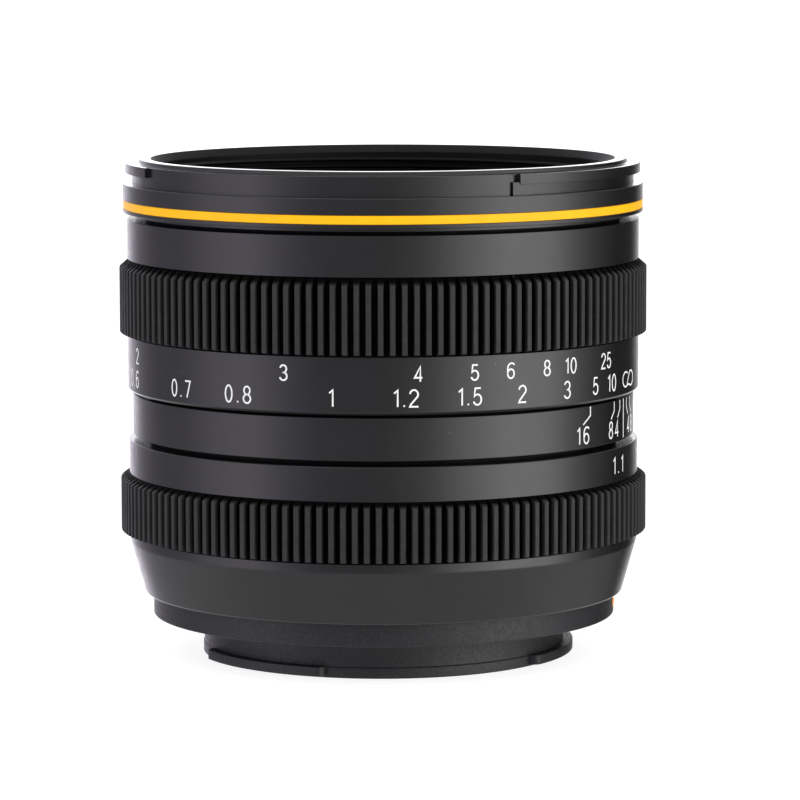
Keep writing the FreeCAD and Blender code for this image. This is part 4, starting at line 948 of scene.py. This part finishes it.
def build_world():
    """A studio tent: a soft box at either side, darker towards the camera, pale behind, above and below."""
    world = bpy.data.worlds.new("tent")
    bpy.context.scene.world = world
    world.use_nodes = True
    tree = world.node_tree
    tree.nodes.clear()

    def add(kind, **settings):
        node = tree.nodes.new(kind)
        for key, value in settings.items():
            setattr(node, key, value)
        return node

    def maths(operation, first, second=0.0):
        node = add("ShaderNodeMath", operation=operation)
        for socket, value in zip(node.inputs, (first, second)):
            if isinstance(value, float):
                socket.default_value = value
            else:
                tree.links.new(value, socket)
        return node.outputs[0]

    def blend(factor, first, second):
        node = add("ShaderNodeMix", data_type="RGBA")
        sockets = [item for item in node.inputs if item.type == "RGBA"]
        for socket, value in zip(sockets, (first, second)):
            if isinstance(value, tuple):
                socket.default_value = (*value, 1.0)
            else:
                tree.links.new(value, socket)
        tree.links.new(factor, node.inputs["Factor"])
        return next(item for item in node.outputs if item.type == "RGBA")

    def climb(low, high):
        node = add("ShaderNodeMapRange")
        node.inputs["From Min"].default_value = low
        node.inputs["From Max"].default_value = high
        tree.links.new(split.outputs["Z"], node.inputs["Value"])
        return node.outputs["Result"]

    direction = add("ShaderNodeTexCoord")
    split = add("ShaderNodeSeparateXYZ")
    tree.links.new(direction.outputs["Generated"], split.inputs["Vector"])
    bearing = maths("ARCTAN2", split.outputs["X"], maths("MULTIPLY", split.outputs["Y"], -1.0))
    turn = maths("ADD", maths("DIVIDE", bearing, 2 * math.pi), 0.5)
    ring = add("ShaderNodeValToRGB")
    tree.links.new(turn, ring.inputs["Fac"])
    stops = ring.color_ramp.elements
    brightness = [(0.0, 2.4), (0.05, 1.5), (0.10, 0.50), (0.16, 0.35), (0.22, 0.55), (0.27, 1.3), (0.33, 1.8),
                  (0.38, 0.9), (0.42, 0.5), (0.50, 0.42), (0.555, 0.8), (0.60, 2.1), (0.66, 3.5), (0.72, 2.9),
                  (0.76, 1.1), (0.80, 0.30), (0.85, 0.04), (0.92, 0.04), (0.955, 0.8), (1.0, 2.4)]
    strongest = max(level for place, level in brightness)
    for place, level in brightness:
        stop = stops[0] if place == 0 else stops[-1] if place == 1 else stops.new(place)
        red = level / strongest
        green, blue = (0.95, 1.09) if 0.0 < place < 0.5 else (0.985, 1.0)
        stop.color = (red, red * green, red * blue, 1)
    scaled = add("ShaderNodeVectorMath", operation="SCALE")
    scaled.inputs["Scale"].default_value = strongest
    tree.links.new(ring.outputs["Color"], scaled.inputs[0])
    low = blend(climb(-0.5, -0.28), (0.85, 0.85, 0.86), scaled.outputs["Vector"])
    tent_colour = blend(climb(0.3, 0.6), low, (0.95, 0.95, 0.96))
    tent = add("ShaderNodeBackground")
    tree.links.new(tent_colour, tent.inputs["Color"])
    plain = add("ShaderNodeBackground")
    plain.inputs["Color"].default_value = (1, 1, 1, 1)
    plain.inputs["Strength"].default_value = 1.2
    path = add("ShaderNodeLightPath")
    mix = add("ShaderNodeMixShader")
    output = add("ShaderNodeOutputWorld")
    tree.links.new(path.outputs["Is Camera Ray"], mix.inputs["Fac"])
    tree.links.new(tent.outputs["Background"], mix.inputs[1])
    tree.links.new(plain.outputs["Background"], mix.inputs[2])
    tree.links.new(mix.outputs["Shader"], output.inputs["Surface"])


def build_light():
    """A weak overhead soft box, aimed at the middle of the lens; the tent does the rest."""
    light = bpy.data.lights.new("top_softbox", "AREA")
    light.shape = "RECTANGLE"
    light.size, light.size_y = 0.5, 0.4
    light.energy = 0.6
    place = Vector((0, -0.1, 0.45))
    target = Vector((0, 0, 0.025))
    lamp = bpy.data.objects.new("top_softbox", light)
    lamp.location = place
    lamp.rotation_mode = "QUATERNION"
    lamp.rotation_quaternion = (target - place).to_track_quat("-Z", "Y")
    lamp.visible_camera = False
    bpy.context.scene.collection.objects.link(lamp)


def build_camera():
    """A long lens at half a metre, a little above the front rim and looking slightly down."""
    data = bpy.data.cameras.new("camera")
    data.sensor_width = 36
    data.lens = 195.6
    data.clip_start, data.clip_end = 0.01, 20
    camera = bpy.data.objects.new("camera", data)
    camera.location = (0, -0.494, 0.08053)
    pan, pitch, roll = math.radians(0.221), math.radians(6.511), math.radians(-0.115)
    forward = Vector((math.sin(pan) * math.cos(pitch), math.cos(pan) * math.cos(pitch), -math.sin(pitch)))
    camera.rotation_mode = "QUATERNION"
    camera.rotation_quaternion = forward.to_track_quat("-Z", "Y") @ Quaternion((0, 0, 1), roll)
    bpy.context.scene.collection.objects.link(camera)
    bpy.context.scene.camera = camera
    bpy.context.scene.view_settings.view_transform = "Standard"


# ---- everything ------------------------------------------------------------------------------------------


def build_lens():
    """Every piece, from the flange to the front ring, then the glass and the engraving."""
    dress_cad_nodes()
    build_flange()
    build_index_dot()
    build_rear_barrel()
    build_index_ring()
    build_focus_ring()
    build_focus_thread()
    build_grip("focus_rubber", "focus_grip", "focus_ring", 1.97, 0.33, 0.98, 0.385)
    build_aperture_ring()
    build_grip("aperture_rubber", "aperture_grip", "aperture_ring", 1.5, 0.12, 0.66, 0.46)
    build_front_ring()
    build_filter_thread()
    build_accent_ring()
    build_trim_ring()
    build_glass("front_element", "front_glass", 48, -160, 45.9, 38.6, 430)
    build_glass("second_element", "second_glass", 34, -20, 38.2, 34.2, 520)
    build_glass("third_element", "third_glass", -24, 0, 17.0, 14.6, 390)
    build_glass("fourth_element", "fourth_glass", 0, 40, 14.56, 9.4, 470)
    build_glass("rear_element", "rear_glass", 45, 60, 8.4, 2.2, 540)
    build_distance_scale()
    build_depth_scale()
    build_aperture_scale()


build_lens()
build_floor()
build_world()
build_light()
build_camera()
